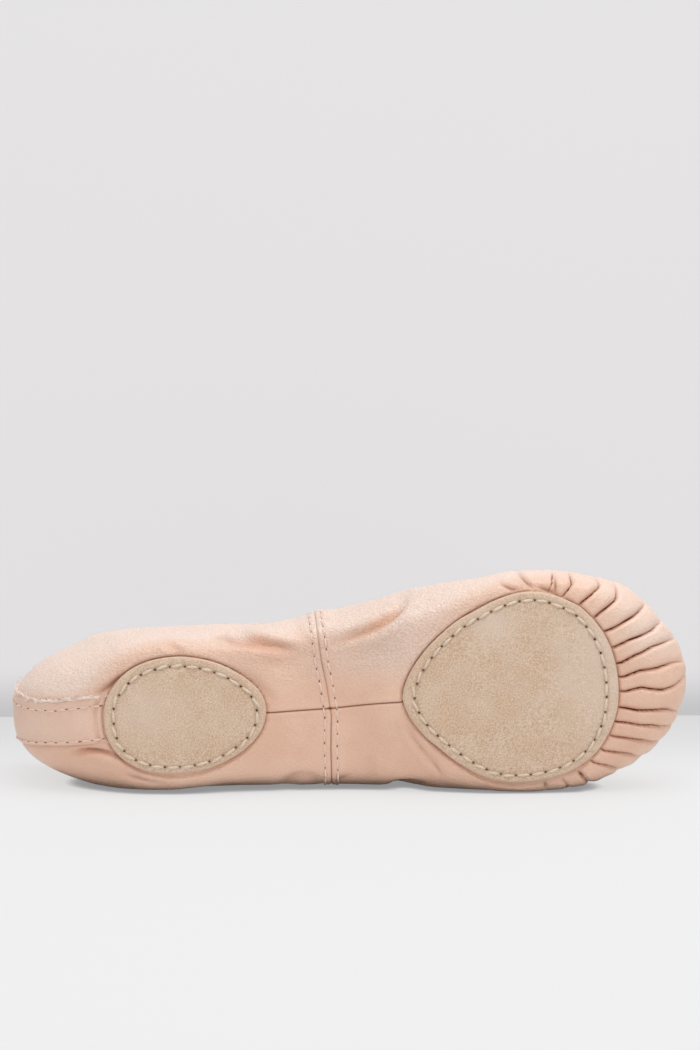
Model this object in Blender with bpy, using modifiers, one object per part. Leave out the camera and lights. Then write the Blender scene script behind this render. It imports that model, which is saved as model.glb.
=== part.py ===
"""Split-sole ballet slipper, lying on its side: sole towards -Y, collar towards +Y, toe towards +X.

Shoe sizes are in millimetres. A point of the shoe has three sizes: along (heel to toe), across (0 on the
centre line, positive on the side that lies uppermost) and height (0 on the tread face of the upper).
"""

import math

import bmesh
import bpy
import numpy as np

MM = 0.001

# Driving sizes of the slipper
LENGTH = 188.0
BALL_WIDTH = 62.0
HEEL_HEIGHT = 47.0
SIDE_HEIGHT = 35.0
INSTEP_HEIGHT = 44.0
WALL = 1.3
CLEARANCE = 0.3

# Thickness of the pieces sewn to the upper, and how far the side sinks as it rests on the floor
PATCH_THICKNESS = 1.4
STRIP_THICKNESS = 0.9
INSOLE_THICKNESS = 1.2
SIDE_SINK = 1.0
SIDE_FLAT = 0.6

# The soft waist sags towards the floor between heel and ball
WAIST_SAG = 1.9
WAIST_SAG_ALONG = 77.0
WAIST_SAG_LENGTH = 22.0

# Sole profile: arch between the two patches, spring under the toes, and the roll across the tread
ARCH_RISE = 2.6
TOE_SPRING = 3.2
ARCH_BACK = 62.0
ARCH_FRONT = 116.0
TREAD_ROLL = 1.1

# Fullness of the sides: how far the leather puffs below the tread edge, mm, and the handles of the curves
# from the tread edge out to the widest line and from there up to the collar, as shares of each reach
PUFF = 1.6
EDGE_HANDLE = 0.5
BELLY_HANDLE = 0.55
COLLAR_HANDLE = 0.42
BELLY_LEAN = 0.75

# The last, a row for each section from the back of the heel round one side to the tip of the toe.
# along, collar_along: share of LENGTH. across, collar_across: share of half BALL_WIDTH.
# widest: height of the widest line, mm. sole: where the tread ends, as a share of the way out to that line.
# rim: edge of the opening under a patch, as a share of the same way (0 on the arch seam).
# rise: collar height above SIDE_HEIGHT, as a share of what HEEL_HEIGHT or INSTEP_HEIGHT adds.
# lean: how far the collar edge leans inwards from upright, degrees.
LAST_COLUMNS = (
    "along", "across", "widest", "sole", "rim", "collar_along", "collar_across", "rise", "lean"
)
LAST = {
    "heel_back": (0.000, 0.000, 21.0, 0.50, 0.31, 0.016, 0.000, 1.00, 8.0),
    "heel_corner": (0.009, 0.260, 20.5, 0.51, 0.31, 0.024, 0.210, 0.94, 12.0),
    "heel_flank": (0.043, 0.455, 19.5, 0.54, 0.32, 0.062, 0.375, 0.70, 18.0),
    "heel_bend": (0.096, 0.610, 18.5, 0.61, 0.35, 0.118, 0.455, 0.42, 24.0),
    "heel_side": (0.160, 0.712, 17.5, 0.72, 0.38, 0.180, 0.500, 0.22, 28.0),
    "heel_mid": (0.245, 0.722, 16.8, 0.80, 0.36, 0.255, 0.515, 0.10, 30.0),
    "heel_front": (0.330, 0.724, 16.0, 0.66, 0.00, 0.330, 0.525, 0.03, 32.0),
    "waist": (0.468, 0.775, 15.0, 0.55, 0.00, 0.455, 0.535, 0.00, 34.0),
    "instep": (0.596, 0.888, 13.5, 0.58, 0.00, 0.560, 0.530, 0.12, 38.0),
    "ball": (0.766, 1.000, 12.0, 0.89, 0.58, 0.640, 0.450, 0.50, 48.0),
    "toe_side": (0.862, 0.925, 11.5, 0.84, 0.55, 0.672, 0.300, 0.80, 56.0),
    "toe_bend": (0.926, 0.750, 11.5, 0.74, 0.53, 0.683, 0.170, 0.94, 60.0),
    "toe_corner": (0.976, 0.450, 11.8, 0.665, 0.50, 0.688, 0.080, 0.99, 62.0),
    "toe_tip": (1.000, 0.000, 12.0, 0.645, 0.48, 0.690, 0.000, 1.00, 62.0),
}

# Spokes of the tread fan out from these two points on the centre line
HEEL_FAN = 48.0
TOE_FAN = 136.0

# Suede patches: back tip, widest station and front tip along the shoe, half width, and the
# superellipse power of the outline behind and ahead of the widest station
PATCH_COLUMNS = ("back", "widest", "front", "half_width", "back_power", "front_power")
PATCHES = {
    "forefoot_sole": (108.2, 144.0, 168.2, 26.7, 1.62, 2.08),
    "heel_sole": (25.0, 45.5, 70.6, 17.0, 2.0, 1.86),
}

# Toe pleats, a row for each crease: its bearing from TOE_FAN at the patch and at the widest line, degrees,
# its depth, and how far it runs on past the widest line, mm
PLEAT_COLUMNS = ("patch_bearing", "toe_bearing", "depth", "reach")
PLEATS = (
    (58.0, 58.5, 0.35, 4.0),
    (50.0, 50.5, 0.80, 5.0),
    (41.0, 42.5, 1.20, 8.0),
    (31.5, 34.5, 1.30, 9.0),
    (23.0, 25.5, 1.40, 9.0),
    (15.0, 17.5, 1.40, 8.0),
    (7.0, 10.5, 1.40, 8.0),
    (0.0, 3.5, 1.30, 7.0),
    (-6.5, -3.0, 1.40, 8.0),
    (-14.0, -11.5, 1.40, 9.0),
    (-21.5, -18.5, 1.30, 8.0),
    (-29.0, -25.5, 1.30, 7.0),
    (-37.0, -33.5, 1.20, 6.0),
    (-44.5, -42.0, 1.00, 5.0),
    (-52.0, -51.0, 0.80, 5.0),
    (-59.0, -58.5, 0.35, 4.0),
)
PLEAT_ROUNDING = 0.7
PLEAT_STEPS = 4
PLEAT_START = -0.5
PLEAT_RAMP = 2.5

# Seams and hem worked into the wall of the upper
CROSS_SEAM_ALONG = 87.0
SEAM_HALF_WIDTH = 0.7
SEAM_DEPTH = 0.3
HEM_WIDTH = 7.0
HEM_STEP = 0.5
HEM_RAMP = 0.8

# Heel strip: half width at the patch and at the hem, and how far off centre it is sewn
STRIP_HALF_WIDTH = 5.6
STRIP_TOP_HALF_WIDTH = 7.2
STRIP_OFF_CENTRE = 0.7

# Mesh density: sections along each side, and rows up each section
SIDE_STATIONS = (
    1.0, 3.0, 7.0, 13.0, 20.0, 26.0, 31.0, 36.0, 42.0, 49.0, 56.0, 63.0, 70.0, 78.0,
    95.0, 103.0, 111.0, 119.0, 126.0, 132.0, 137.0, 142.0,
)
TREAD_ROWS = (0.0, 0.5, 1.0)
LOWER_ROWS = (0.12, 0.28, 0.46, 0.64, 0.82, 1.0)
UPPER_ROWS = (0.12, 0.26, 0.45, 0.7, 1.0)
CURVE_STEPS = 48
PATCH_SPOKES = 56
PATCH_RINGS = (0.0, 0.3, 0.6, 0.82, 1.0)
INSOLE_ROWS = (0.0, 0.35, 0.7, 1.0)
INSOLE_INSET = 1.2
HEEL_BACK_U = 0.06
STRIP_ROWS = 16
STRIP_COLUMNS = 7


def smoothstep(x):
    x = np.clip(x, 0.0, 1.0)
    return x * x * (3.0 - 2.0 * x)


def periodic_spline(knots, values, period):
    """A smooth closed curve through values at knots: returns a function of the parameter."""
    count = len(knots)
    gaps = np.diff(np.append(knots, knots[0] + period))
    slopes = (np.roll(values, -1, axis=0) - values) / gaps[:, None]
    matrix = np.zeros((count, count))
    right = np.zeros_like(values)
    for i in range(count):
        before = gaps[i - 1]
        after = gaps[i]
        matrix[i, i - 1] += after
        matrix[i, i] += 2.0 * (before + after)
        matrix[i, (i + 1) % count] += before
        right[i] = 3.0 * (after * slopes[i - 1] + before * slopes[i])
    tangents = np.linalg.solve(matrix, right)

    def curve(at):
        at = np.mod(at, period)
        i = np.clip(np.searchsorted(knots, at, side="right") - 1, 0, count - 1)
        j = (i + 1) % count
        gap = gaps[i][:, None]
        x = ((at - knots[i]) / gaps[i])[:, None]
        return (
            values[i] * (1.0 + 2.0 * x) * (1.0 - x) ** 2
            + values[j] * x * x * (3.0 - 2.0 * x)
            + gap * tangents[i] * x * (1.0 - x) ** 2
            - gap * tangents[j] * x * x * (1.0 - x)
        )

    return curve


def last_sections():
    """The LAST table in millimetres, mirrored into a closed loop. u is 0 at the heel and 0.5 at the toe."""
    half = []
    for name, row in LAST.items():
        size = dict(zip(LAST_COLUMNS, row))
        end_height = HEEL_HEIGHT if name.startswith(("heel", "waist")) else INSTEP_HEIGHT
        half.append([
            size["along"] * LENGTH,
            size["across"] * BALL_WIDTH / 2,
            size["widest"],
            size["sole"],
            size["collar_along"] * LENGTH,
            size["collar_across"] * BALL_WIDTH / 2,
            SIDE_HEIGHT + size["rise"] * (end_height - SIDE_HEIGHT),
            size["lean"],
            size["rim"],
        ])
    half = np.array(half)
    mirrored = half[-2:0:-1] * np.array([1, -1, 1, 1, 1, -1, 1, 1, 1])
    loop = np.vstack([half, mirrored])
    steps = np.linalg.norm(np.diff(np.vstack([loop, loop[:1]])[:, :2], axis=0), axis=1)
    knots = np.concatenate([[0.0], np.cumsum(steps)[:-1]]) / steps.sum()
    smooth = periodic_spline(knots, loop[:, :8], 1.0)

    def section(u):
        rim = np.interp(np.mod(u, 1.0), np.append(knots, 1.0), np.append(loop[:, 8], loop[0, 8]))
        return np.column_stack([smooth(u), rim])

    return section


SECTION = last_sections()


def spine(along):
    """The point of the centre line that a spoke starts from."""
    return np.clip(along, HEEL_FAN, TOE_FAN)


def tread_height(along, across):
    """Height of the upper's tread face: arch, toe spring and the roll towards its edges."""
    arch = ARCH_RISE * np.sin(math.pi * np.clip((along - ARCH_BACK) / (ARCH_FRONT - ARCH_BACK), 0, 1)) ** 2
    spring = TOE_SPRING * np.clip((along - TOE_FAN) / (LENGTH - TOE_FAN), 0.0, 1.0) ** 2
    roll = TREAD_ROLL * (across / (BALL_WIDTH / 2)) ** 2
    return arch + spring + roll


def bezier(p0, p1, p2, p3, t):
    t = t[None, :, None]
    p0, p1, p2, p3 = (p[:, None, :] for p in (p0, p1, p2, p3))
    return p0 * (1 - t) ** 3 + 3 * p1 * t * (1 - t) ** 2 + 3 * p2 * t * t * (1 - t) + p3 * t**3


def resample(curves, shares):
    """Points at these shares of each curve's length. shares has a row for each curve."""
    steps = np.linalg.norm(np.diff(curves, axis=1), axis=2)
    run = np.concatenate([np.zeros((len(curves), 1)), np.cumsum(steps, axis=1)], axis=1)
    out = np.empty((len(curves), shares.shape[1], 3))
    for i, curve in enumerate(curves):
        for k in range(3):
            out[i, :, k] = np.interp(shares[i] * run[i, -1], run[i], curve[:, k])
    return out, run[:, -1]


def smooth_grid(u):
    """The upper before pleats and seams: points[section, row], with the run of each row past the tread edge
    and past the widest line, and its distance below the collar edge."""
    along, across, widest, sole, c_along, c_across, c_height, lean, rim = SECTION(u).T
    start = np.column_stack([spine(along), np.zeros_like(along)])
    way = np.column_stack([along, across]) - start
    outward = np.column_stack([way / np.linalg.norm(way, axis=1)[:, None], np.zeros_like(along)])
    up = np.array([0.0, 0.0, 1.0])

    edge = np.column_stack([start + way * sole[:, None], np.zeros_like(along)])
    edge[:, 2] = tread_height(edge[:, 0], edge[:, 1])
    belly = np.column_stack([along, across, widest])
    collar = np.column_stack([c_along, c_across, c_height])

    shares = rim[:, None] + (sole - rim)[:, None] * np.array(TREAD_ROWS)
    tread = np.concatenate([start[:, None, :] + way[:, None, :] * shares[:, :, None],
                            np.zeros((len(u), len(TREAD_ROWS), 1))], axis=2)
    tread[:, :, 2] = tread_height(tread[:, :, 0], tread[:, :, 1])

    t = np.linspace(0.0, 1.0, CURVE_STEPS)
    reach = np.linalg.norm((belly - edge)[:, :2], axis=1)[:, None]
    depth = (belly - edge)[:, 2][:, None]
    puffed = edge + outward * EDGE_HANDLE * reach - up * PUFF
    lower = bezier(edge, puffed, belly - up * BELLY_HANDLE * depth, belly, t)
    span = np.linalg.norm(collar - belly, axis=1)[:, None]
    tilt = np.radians(lean)[:, None]
    inward = np.column_stack([(collar - belly)[:, :2], np.zeros_like(along)])
    inward /= np.linalg.norm(inward, axis=1)[:, None]
    arrive = inward * np.sin(tilt) + up * np.cos(tilt)
    leave = up * np.cos(tilt * BELLY_LEAN)
    handle = COLLAR_HANDLE * span
    upper = bezier(belly, belly + leave * handle, collar - arrive * handle, collar, t)

    lower_shares = np.tile(LOWER_ROWS, (len(u), 1))
    lower_points, lower_run = resample(lower, lower_shares)
    upper_length = np.linalg.norm(np.diff(upper, axis=1), axis=2).sum(axis=1)
    wall = (1.0 - (HEM_WIDTH + HEM_RAMP) / upper_length)[:, None]
    hem = (1.0 - HEM_WIDTH / upper_length)[:, None]
    upper_shares = np.hstack([wall * np.array(UPPER_ROWS), hem, (1.0 + hem) / 2, np.ones_like(hem)])
    upper_points, upper_run = resample(upper, upper_shares)

    points = np.concatenate([tread, lower_points, upper_points], axis=1)
    tread_run = (shares - sole[:, None]) * np.linalg.norm(way, axis=1)[:, None]
    past_edge = np.hstack([tread_run, lower_shares * lower_run[:, None],
                           lower_run[:, None] + upper_shares * upper_run[:, None]])
    past_widest = past_edge - lower_run[:, None]
    below_collar = (lower_run + upper_run)[:, None] - past_edge
    return points, past_edge, past_widest, below_collar


def grid_normals(points, closed=True):
    """Outward normals of a grid of sections, which may close into a ring."""
    around = np.gradient(points, axis=0)
    if closed:
        around = np.roll(points, -1, axis=0) - np.roll(points, 1, axis=0)
    upward = np.gradient(points, axis=1)
    normal = np.cross(upward, around)
    length = np.linalg.norm(normal, axis=2, keepdims=True)
    return normal / np.maximum(length, 1e-9)


def bearing_to_u(bearing):
    """The section whose spoke leaves TOE_FAN at this bearing."""
    u = np.linspace(0.3, 0.7, 801)
    along, across = SECTION(u)[:, :2].T
    angle = np.degrees(np.arctan2(across, along - TOE_FAN))
    return np.interp(-np.asarray(bearing), -angle, u)


def station_to_u(station):
    """The section on the upper side whose widest point is at this station along the shoe."""
    u = np.linspace(0.0, 0.5, 801)
    return np.interp(station, SECTION(u)[:, 0], u)


def pleat_sections():
    """Sections through the pleats, from crease to crest to crease: u at the patch, u at the widest line,
    depth and reach."""
    crease = dict(zip(PLEAT_COLUMNS, np.array(PLEATS).T))
    creases = np.column_stack([
        bearing_to_u(crease["patch_bearing"]),
        bearing_to_u(crease["toe_bearing"]),
        crease["depth"],
        crease["reach"],
    ])
    rows = [creases[0]]
    for before, after in zip(creases[:-1], creases[1:]):
        for share in np.arange(1, PLEAT_STEPS + 1) / PLEAT_STEPS:
            row = before + share * (after - before)
            row[2] *= 1.0 - math.sin(math.pi * share) ** PLEAT_ROUNDING
            rows.append(row)
    return np.array(rows)


def upper_sections():
    """All sections round the loop, as the columns that pleat_sections gives."""
    seam = (CROSS_SEAM_ALONG - SEAM_HALF_WIDTH, CROSS_SEAM_ALONG, CROSS_SEAM_ALONG + SEAM_HALF_WIDTH)
    side = station_to_u(np.sort(np.array(SIDE_STATIONS + seam)))
    plain = np.concatenate([[0.0], side, 1.0 - side[::-1]])
    plain = np.column_stack([plain, plain, np.zeros((len(plain), 2))])
    return np.vstack([plain[:len(side) + 1], pleat_sections(), plain[len(side) + 1:]])


def upper_grid():
    """The upper's outer face: pleats, seams and hem pressed into the smooth grid."""
    u, toe_u, pleat_depth, pleat_reach = upper_sections().T
    points, past_edge, past_widest, below_collar = smooth_grid(u)
    turned = np.clip(past_edge / (past_edge - past_widest), 0.0, 1.0)[:, :, None]
    points = points * (1.0 - turned) + smooth_grid(toe_u)[0] * turned
    normals = grid_normals(points)
    fade_in = smoothstep((past_edge - PLEAT_START) / PLEAT_RAMP)
    fade_out = 1.0 - smoothstep(past_widest / np.maximum(pleat_reach, 1.0)[:, None])
    push = -pleat_depth[:, None] * fade_in * fade_out
    on_seam = np.abs(SECTION(u)[:, 0] - CROSS_SEAM_ALONG) < 0.5 * SEAM_HALF_WIDTH
    push[on_seam] -= SEAM_DEPTH * smoothstep(below_collar[on_seam] / HEM_WIDTH)
    push += HEM_STEP * (1.0 - smoothstep((below_collar - HEM_WIDTH) / HEM_RAMP))
    points = points + normals * push[:, :, None]
    on_arch = np.abs(points[:, 0, 1]) < 1e-6
    points[on_arch, 0, 2] += SEAM_DEPTH
    return points


def patch_grid(name):
    """Tread face of a suede patch, in spokes from its middle."""
    size = dict(zip(PATCH_COLUMNS, PATCHES[name]))
    angle = np.linspace(2.0 * math.pi, 0.0, PATCH_SPOKES, endpoint=False)
    ahead = np.cos(angle) > 0.0
    power = np.where(ahead, size["front_power"], size["back_power"])
    length = np.where(ahead, size["front"] - size["widest"], size["widest"] - size["back"])
    cos = np.abs(np.cos(angle)) ** (2.0 / power) * np.sign(np.cos(angle))
    sin = np.abs(np.sin(angle)) ** (2.0 / power) * np.sign(np.sin(angle))
    rings = np.array(PATCH_RINGS)[None, :]
    along = size["widest"] + (length * cos)[:, None] * rings
    across = (size["half_width"] * sin)[:, None] * rings
    height = tread_height(along, across) - CLEARANCE - PATCH_THICKNESS
    return np.stack([along, across, height], axis=-1)


def insole_grid():
    """Underside of the insole, in spokes from the centre line to just inside the tread edge."""
    u = upper_sections()[:, 0]
    along, across, _, sole = SECTION(u).T[:4]
    start = spine(along)
    way = np.hypot(along - start, across)
    shares = ((sole * way - INSOLE_INSET) / way)[:, None] * np.array(INSOLE_ROWS)
    points = np.zeros((len(u), len(INSOLE_ROWS), 3))
    points[:, :, 0] = start[:, None] + (along - start)[:, None] * shares
    points[:, :, 1] = across[:, None] * shares
    points[:, :, 2] = tread_height(points[:, :, 0], points[:, :, 1]) + WALL + SEAM_DEPTH + CLEARANCE
    return points


def strip_grid():
    """Outer face of the heel strip, drawn off the upper's own sections at the back of the heel."""
    u = np.linspace(-HEEL_BACK_U, HEEL_BACK_U, 49)
    points, past_edge = smooth_grid(u)[:2]
    points = points + grid_normals(points, closed=False) * (CLEARANCE + STRIP_THICKNESS)
    share = np.linspace(0.0, 1.0, STRIP_ROWS)
    run = np.empty((len(u), STRIP_ROWS, 3))
    for i in range(len(u)):
        hem = past_edge[i, -1] - HEM_WIDTH - HEM_RAMP - 2.0 * CLEARANCE
        at = share * (hem + CLEARANCE) - CLEARANCE
        for k in range(3):
            run[i, :, k] = np.interp(at, past_edge[i], points[i, :, k])
    half = STRIP_HALF_WIDTH + (STRIP_TOP_HALF_WIDTH - STRIP_HALF_WIDTH) * share
    rows = []
    for j in range(STRIP_ROWS):
        across = STRIP_OFF_CENTRE + np.linspace(-half[j], half[j], STRIP_COLUMNS)
        along = np.interp(across, run[:, j, 1], run[:, j, 0])
        height = np.interp(across, run[:, j, 1], run[:, j, 2])
        rows.append(np.column_stack([along, across, height]))
    return np.array(rows).transpose(1, 0, 2)


def side_rest():
    """Tilt at which heel and ball both touch the floor, and how far the centre line then stands above it."""
    outline = SECTION(np.linspace(0.5, 1.0, 401))[:, :2]
    heel, ball = ((LAST[name][0] * LENGTH, LAST[name][1] * BALL_WIDTH / 2) for name in ("heel_side", "ball"))
    tilt = math.atan2(ball[1] - heel[1], ball[0] - heel[0])
    lowest = np.min(outline[:, 0] * math.sin(tilt) + outline[:, 1] * math.cos(tilt))
    return tilt, lowest + SIDE_SINK + SIDE_FLAT


TILT, FLOOR = side_rest()


def place(points):
    """Lays the shoe on its side, in metres, and flattens what presses on the floor."""
    along, across, height = np.moveaxis(np.asarray(points, float), -1, 0)
    sag = WAIST_SAG * np.exp(-((along - WAIST_SAG_ALONG) / WAIST_SAG_LENGTH) ** 2)
    across = across - sag * (2.0 * across / BALL_WIDTH) ** 2
    x = along * math.cos(TILT) - across * math.sin(TILT)
    z = along * math.sin(TILT) + across * math.cos(TILT) - FLOOR
    pressed = np.clip(z + SIDE_SINK, 0.0, 2.0 * SIDE_SINK)
    z = np.where(z < SIDE_SINK, pressed**2 / (4.0 * SIDE_SINK), z)
    return np.stack([x, height, z], axis=-1) * MM


def make_material(name, colour, roughness):
    material = bpy.data.materials.new(name)
    material.use_nodes = True
    shader = material.node_tree.nodes["Principled BSDF"]
    shader.inputs["Base Color"].default_value = (*colour, 1.0)
    shader.inputs["Roughness"].default_value = roughness
    shader.inputs["Metallic"].default_value = 0.0
    return material


def sheet_object(name, points, closed, thickness, material, collection):
    """A sheet of quads through a grid of points, given its thickness on its inner side."""
    build = bmesh.new()
    rows = [[build.verts.new(point) for point in row] for row in place(points)]
    following = rows[1:] + rows[:1] if closed else rows[1:]
    for row, after in zip(rows, following):
        for j in range(len(row) - 1):
            build.faces.new((row[j], after[j], after[j + 1], row[j + 1]))
    bmesh.ops.remove_doubles(build, verts=build.verts, dist=1e-6)
    mesh = bpy.data.meshes.new(name)
    build.to_mesh(mesh)
    build.free()
    mesh.materials.append(material)
    mesh.shade_smooth()
    part = bpy.data.objects.new(name, mesh)
    collection.objects.link(part)
    wall = part.modifiers.new("wall", "SOLIDIFY")
    wall.thickness = thickness * MM
    wall.offset = -1.0
    wall.use_even_offset = True
    return part


def centre_on_box(parts, slipper):
    """Parents the pieces to the slipper's empty and moves that so the whole box stands over the origin."""
    bpy.context.view_layer.update()
    graph = bpy.context.evaluated_depsgraph_get()
    corners = np.array([corner for part in parts for corner in part.evaluated_get(graph).bound_box])
    middle = (corners.min(axis=0) + corners.max(axis=0)) / 2
    slipper.location = (-middle[0], -middle[1], 0.0)
    for part in parts:
        part.parent = slipper


def build_slipper():
    for old in list(bpy.data.objects):
        bpy.data.objects.remove(old, do_unlink=True)
    collection = bpy.data.collections.new("split_sole_ballet_slipper")
    bpy.context.scene.collection.children.link(collection)
    leather = make_material("pink_leather", (0.78, 0.55, 0.43), 0.5)
    strip_leather = make_material("strip_leather", (0.76, 0.53, 0.41), 0.55)
    suede = make_material("beige_suede", (0.61, 0.48, 0.35), 0.95)
    cotton = make_material("insole_cotton", (0.72, 0.63, 0.53), 0.9)
    parts = [
        sheet_object("upper", upper_grid(), True, WALL, leather, collection),
        sheet_object("forefoot_sole", patch_grid("forefoot_sole"), True, PATCH_THICKNESS, suede, collection),
        sheet_object("heel_sole", patch_grid("heel_sole"), True, PATCH_THICKNESS, suede, collection),
        sheet_object("heel_strip", strip_grid(), False, STRIP_THICKNESS, strip_leather, collection),
        sheet_object("insole", insole_grid(), True, INSOLE_THICKNESS, cotton, collection),
    ]
    slipper = bpy.data.objects.new("slipper", None)
    collection.objects.link(slipper)
    centre_on_box(parts, slipper)


build_slipper()
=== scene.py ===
# %% [markdown]
# # Split-sole ballet slipper
# The slipper lies on its side and turns its sole to us: a soft leather upper, gathered in pleats round the
# toe, with one suede patch under the ball of the foot and another under the heel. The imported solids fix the
# place and size of each piece. This lesson lays fine surfaces over them, then sews them and finishes them.
# Shoe sizes are in millimetres: along runs from heel to toe, across is 0 on the centre line and positive on
# the side that lies uppermost, and height is 0 on the tread face of the leather.

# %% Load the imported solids
import math

import bmesh
import bpy
import numpy as np
from mathutils import Matrix, Vector


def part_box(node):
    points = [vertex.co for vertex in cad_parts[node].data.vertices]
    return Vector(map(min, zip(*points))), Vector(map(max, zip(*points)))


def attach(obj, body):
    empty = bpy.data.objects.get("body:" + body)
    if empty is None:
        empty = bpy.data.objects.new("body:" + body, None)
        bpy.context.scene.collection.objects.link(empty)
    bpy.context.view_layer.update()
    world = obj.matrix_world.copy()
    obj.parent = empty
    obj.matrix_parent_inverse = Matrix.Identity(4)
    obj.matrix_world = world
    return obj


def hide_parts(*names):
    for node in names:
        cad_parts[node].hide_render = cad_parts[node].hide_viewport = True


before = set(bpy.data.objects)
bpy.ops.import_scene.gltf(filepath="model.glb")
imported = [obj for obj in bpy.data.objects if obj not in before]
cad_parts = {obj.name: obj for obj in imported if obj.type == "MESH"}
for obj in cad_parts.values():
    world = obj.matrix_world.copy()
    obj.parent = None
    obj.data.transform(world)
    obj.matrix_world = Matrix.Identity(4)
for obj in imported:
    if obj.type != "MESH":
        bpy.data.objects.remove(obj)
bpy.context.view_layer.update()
MM = 0.001
print("solids:", ", ".join(sorted(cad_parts)))

# %% [markdown]
# ## Camera
# A long lens keeps the sole from bulging. The camera could be shifted to bring the slipper low in the
# picture, but then every other view would be off centre too, so it is turned up a little instead.

# %% Camera
IMAGE_HEIGHT = 1050
SENSOR_WIDTH = 36.0
PIXELS_PER_MM = 3.556
CAMERA_DISTANCE = 1200.0
CAMERA_AZIMUTH = math.radians(-1.69)
CAMERA_ELEVATION = math.radians(9.16)
CAMERA_ROLL = math.radians(0.155)
MIDDLE = Vector((0.9, -0.7, 30.0)) * MM
MIDDLE_PIXEL_Y = 674.4


def add_object(name, data):
    """Puts a mesh, a light or a camera into the scene."""
    made = bpy.data.objects.new(name, data)
    bpy.context.scene.collection.objects.link(made)
    return made


def add_camera():
    focal_pixels = PIXELS_PER_MM * CAMERA_DISTANCE
    lift = math.atan((MIDDLE_PIXEL_Y - IMAGE_HEIGHT / 2) / focal_pixels)
    turn = Matrix.Rotation(CAMERA_AZIMUTH, 4, "Z")
    tilt = Matrix.Rotation(math.pi / 2 - CAMERA_ELEVATION + lift, 4, "X")
    towards = turn @ Vector((0.0, math.cos(CAMERA_ELEVATION), -math.sin(CAMERA_ELEVATION)))
    camera = add_object("photo_camera", bpy.data.cameras.new("photo_camera"))
    camera.data.sensor_width = SENSOR_WIDTH
    camera.data.lens = focal_pixels / IMAGE_HEIGHT * SENSOR_WIDTH
    place = Matrix.Translation(MIDDLE - towards * CAMERA_DISTANCE * MM)
    camera.matrix_world = place @ turn @ tilt @ Matrix.Rotation(CAMERA_ROLL, 4, "Z")
    bpy.context.scene.camera = camera
    return camera


camera = add_camera()
print("camera lens:", round(camera.data.lens, 1), "mm")

# %% [markdown]
# ## The last
# Leather is pulled over a last, a block in the form of a foot. A sculpted mesh could hold that form, but a
# short table of sections does it with fewer numbers: each row is one spoke from the middle of the sole out
# to the widest line and up to the collar, and a smooth closed curve runs through every column.

# %% Smooth curves
def smoothstep(x):
    x = np.clip(x, 0.0, 1.0)
    return x * x * (3.0 - 2.0 * x)


def bell(x):
    return np.exp(-x * x)


def unit(ways):
    """The same directions with length 1."""
    return ways / np.linalg.norm(ways, axis=-1, keepdims=True)


def run_along(points):
    """Length of the way from the first point of a line to each of its points."""
    return np.concatenate([[0.0], np.cumsum(np.linalg.norm(np.diff(points, axis=0), axis=1))])


def read_at(places, known, values):
    """Rows of values between known places, read off at other places."""
    return np.column_stack([np.interp(places, known, column) for column in values.T])


def periodic_spline(knots, values):
    """A smooth closed curve through values at knots, which run from 0 to 1: returns a function."""
    count = len(knots)
    gaps = np.diff(np.append(knots, knots[0] + 1.0))
    slopes = (np.roll(values, -1, axis=0) - values) / gaps[:, None]
    matrix = np.zeros((count, count))
    right = np.zeros_like(values)
    for i in range(count):
        before, after = gaps[i - 1], gaps[i]
        matrix[i, i - 1] += after
        matrix[i, i] += 2.0 * (before + after)
        matrix[i, (i + 1) % count] += before
        right[i] = 3.0 * (after * slopes[i - 1] + before * slopes[i])
    tangents = np.linalg.solve(matrix, right)

    def curve(at):
        at = np.mod(at, 1.0)
        i = np.clip(np.searchsorted(knots, at, side="right") - 1, 0, count - 1)
        j = (i + 1) % count
        gap = gaps[i][:, None]
        x = ((at - knots[i]) / gaps[i])[:, None]
        start = values[i] * (1.0 + 2.0 * x) + gap * tangents[i] * x
        end = values[j] * (3.0 - 2.0 * x) - gap * tangents[j] * (1.0 - x)
        return start * (1.0 - x) ** 2 + end * x * x

    return curve


print("a smooth closed curve passes through its knots:",
      np.allclose(periodic_spline(np.array([0.0, 0.3, 0.6]), np.eye(3))(np.array([0.3])), [0, 1, 0]))

# %% Table of sections
LENGTH = 188.0
BALL_WIDTH = 62.0
HEEL_HEIGHT = 47.0
SIDE_HEIGHT = 35.0
INSTEP_HEIGHT = 44.0
HEEL_FAN = 48.0
TOE_FAN = 136.0
LOOKUP_STEPS = 1601
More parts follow.
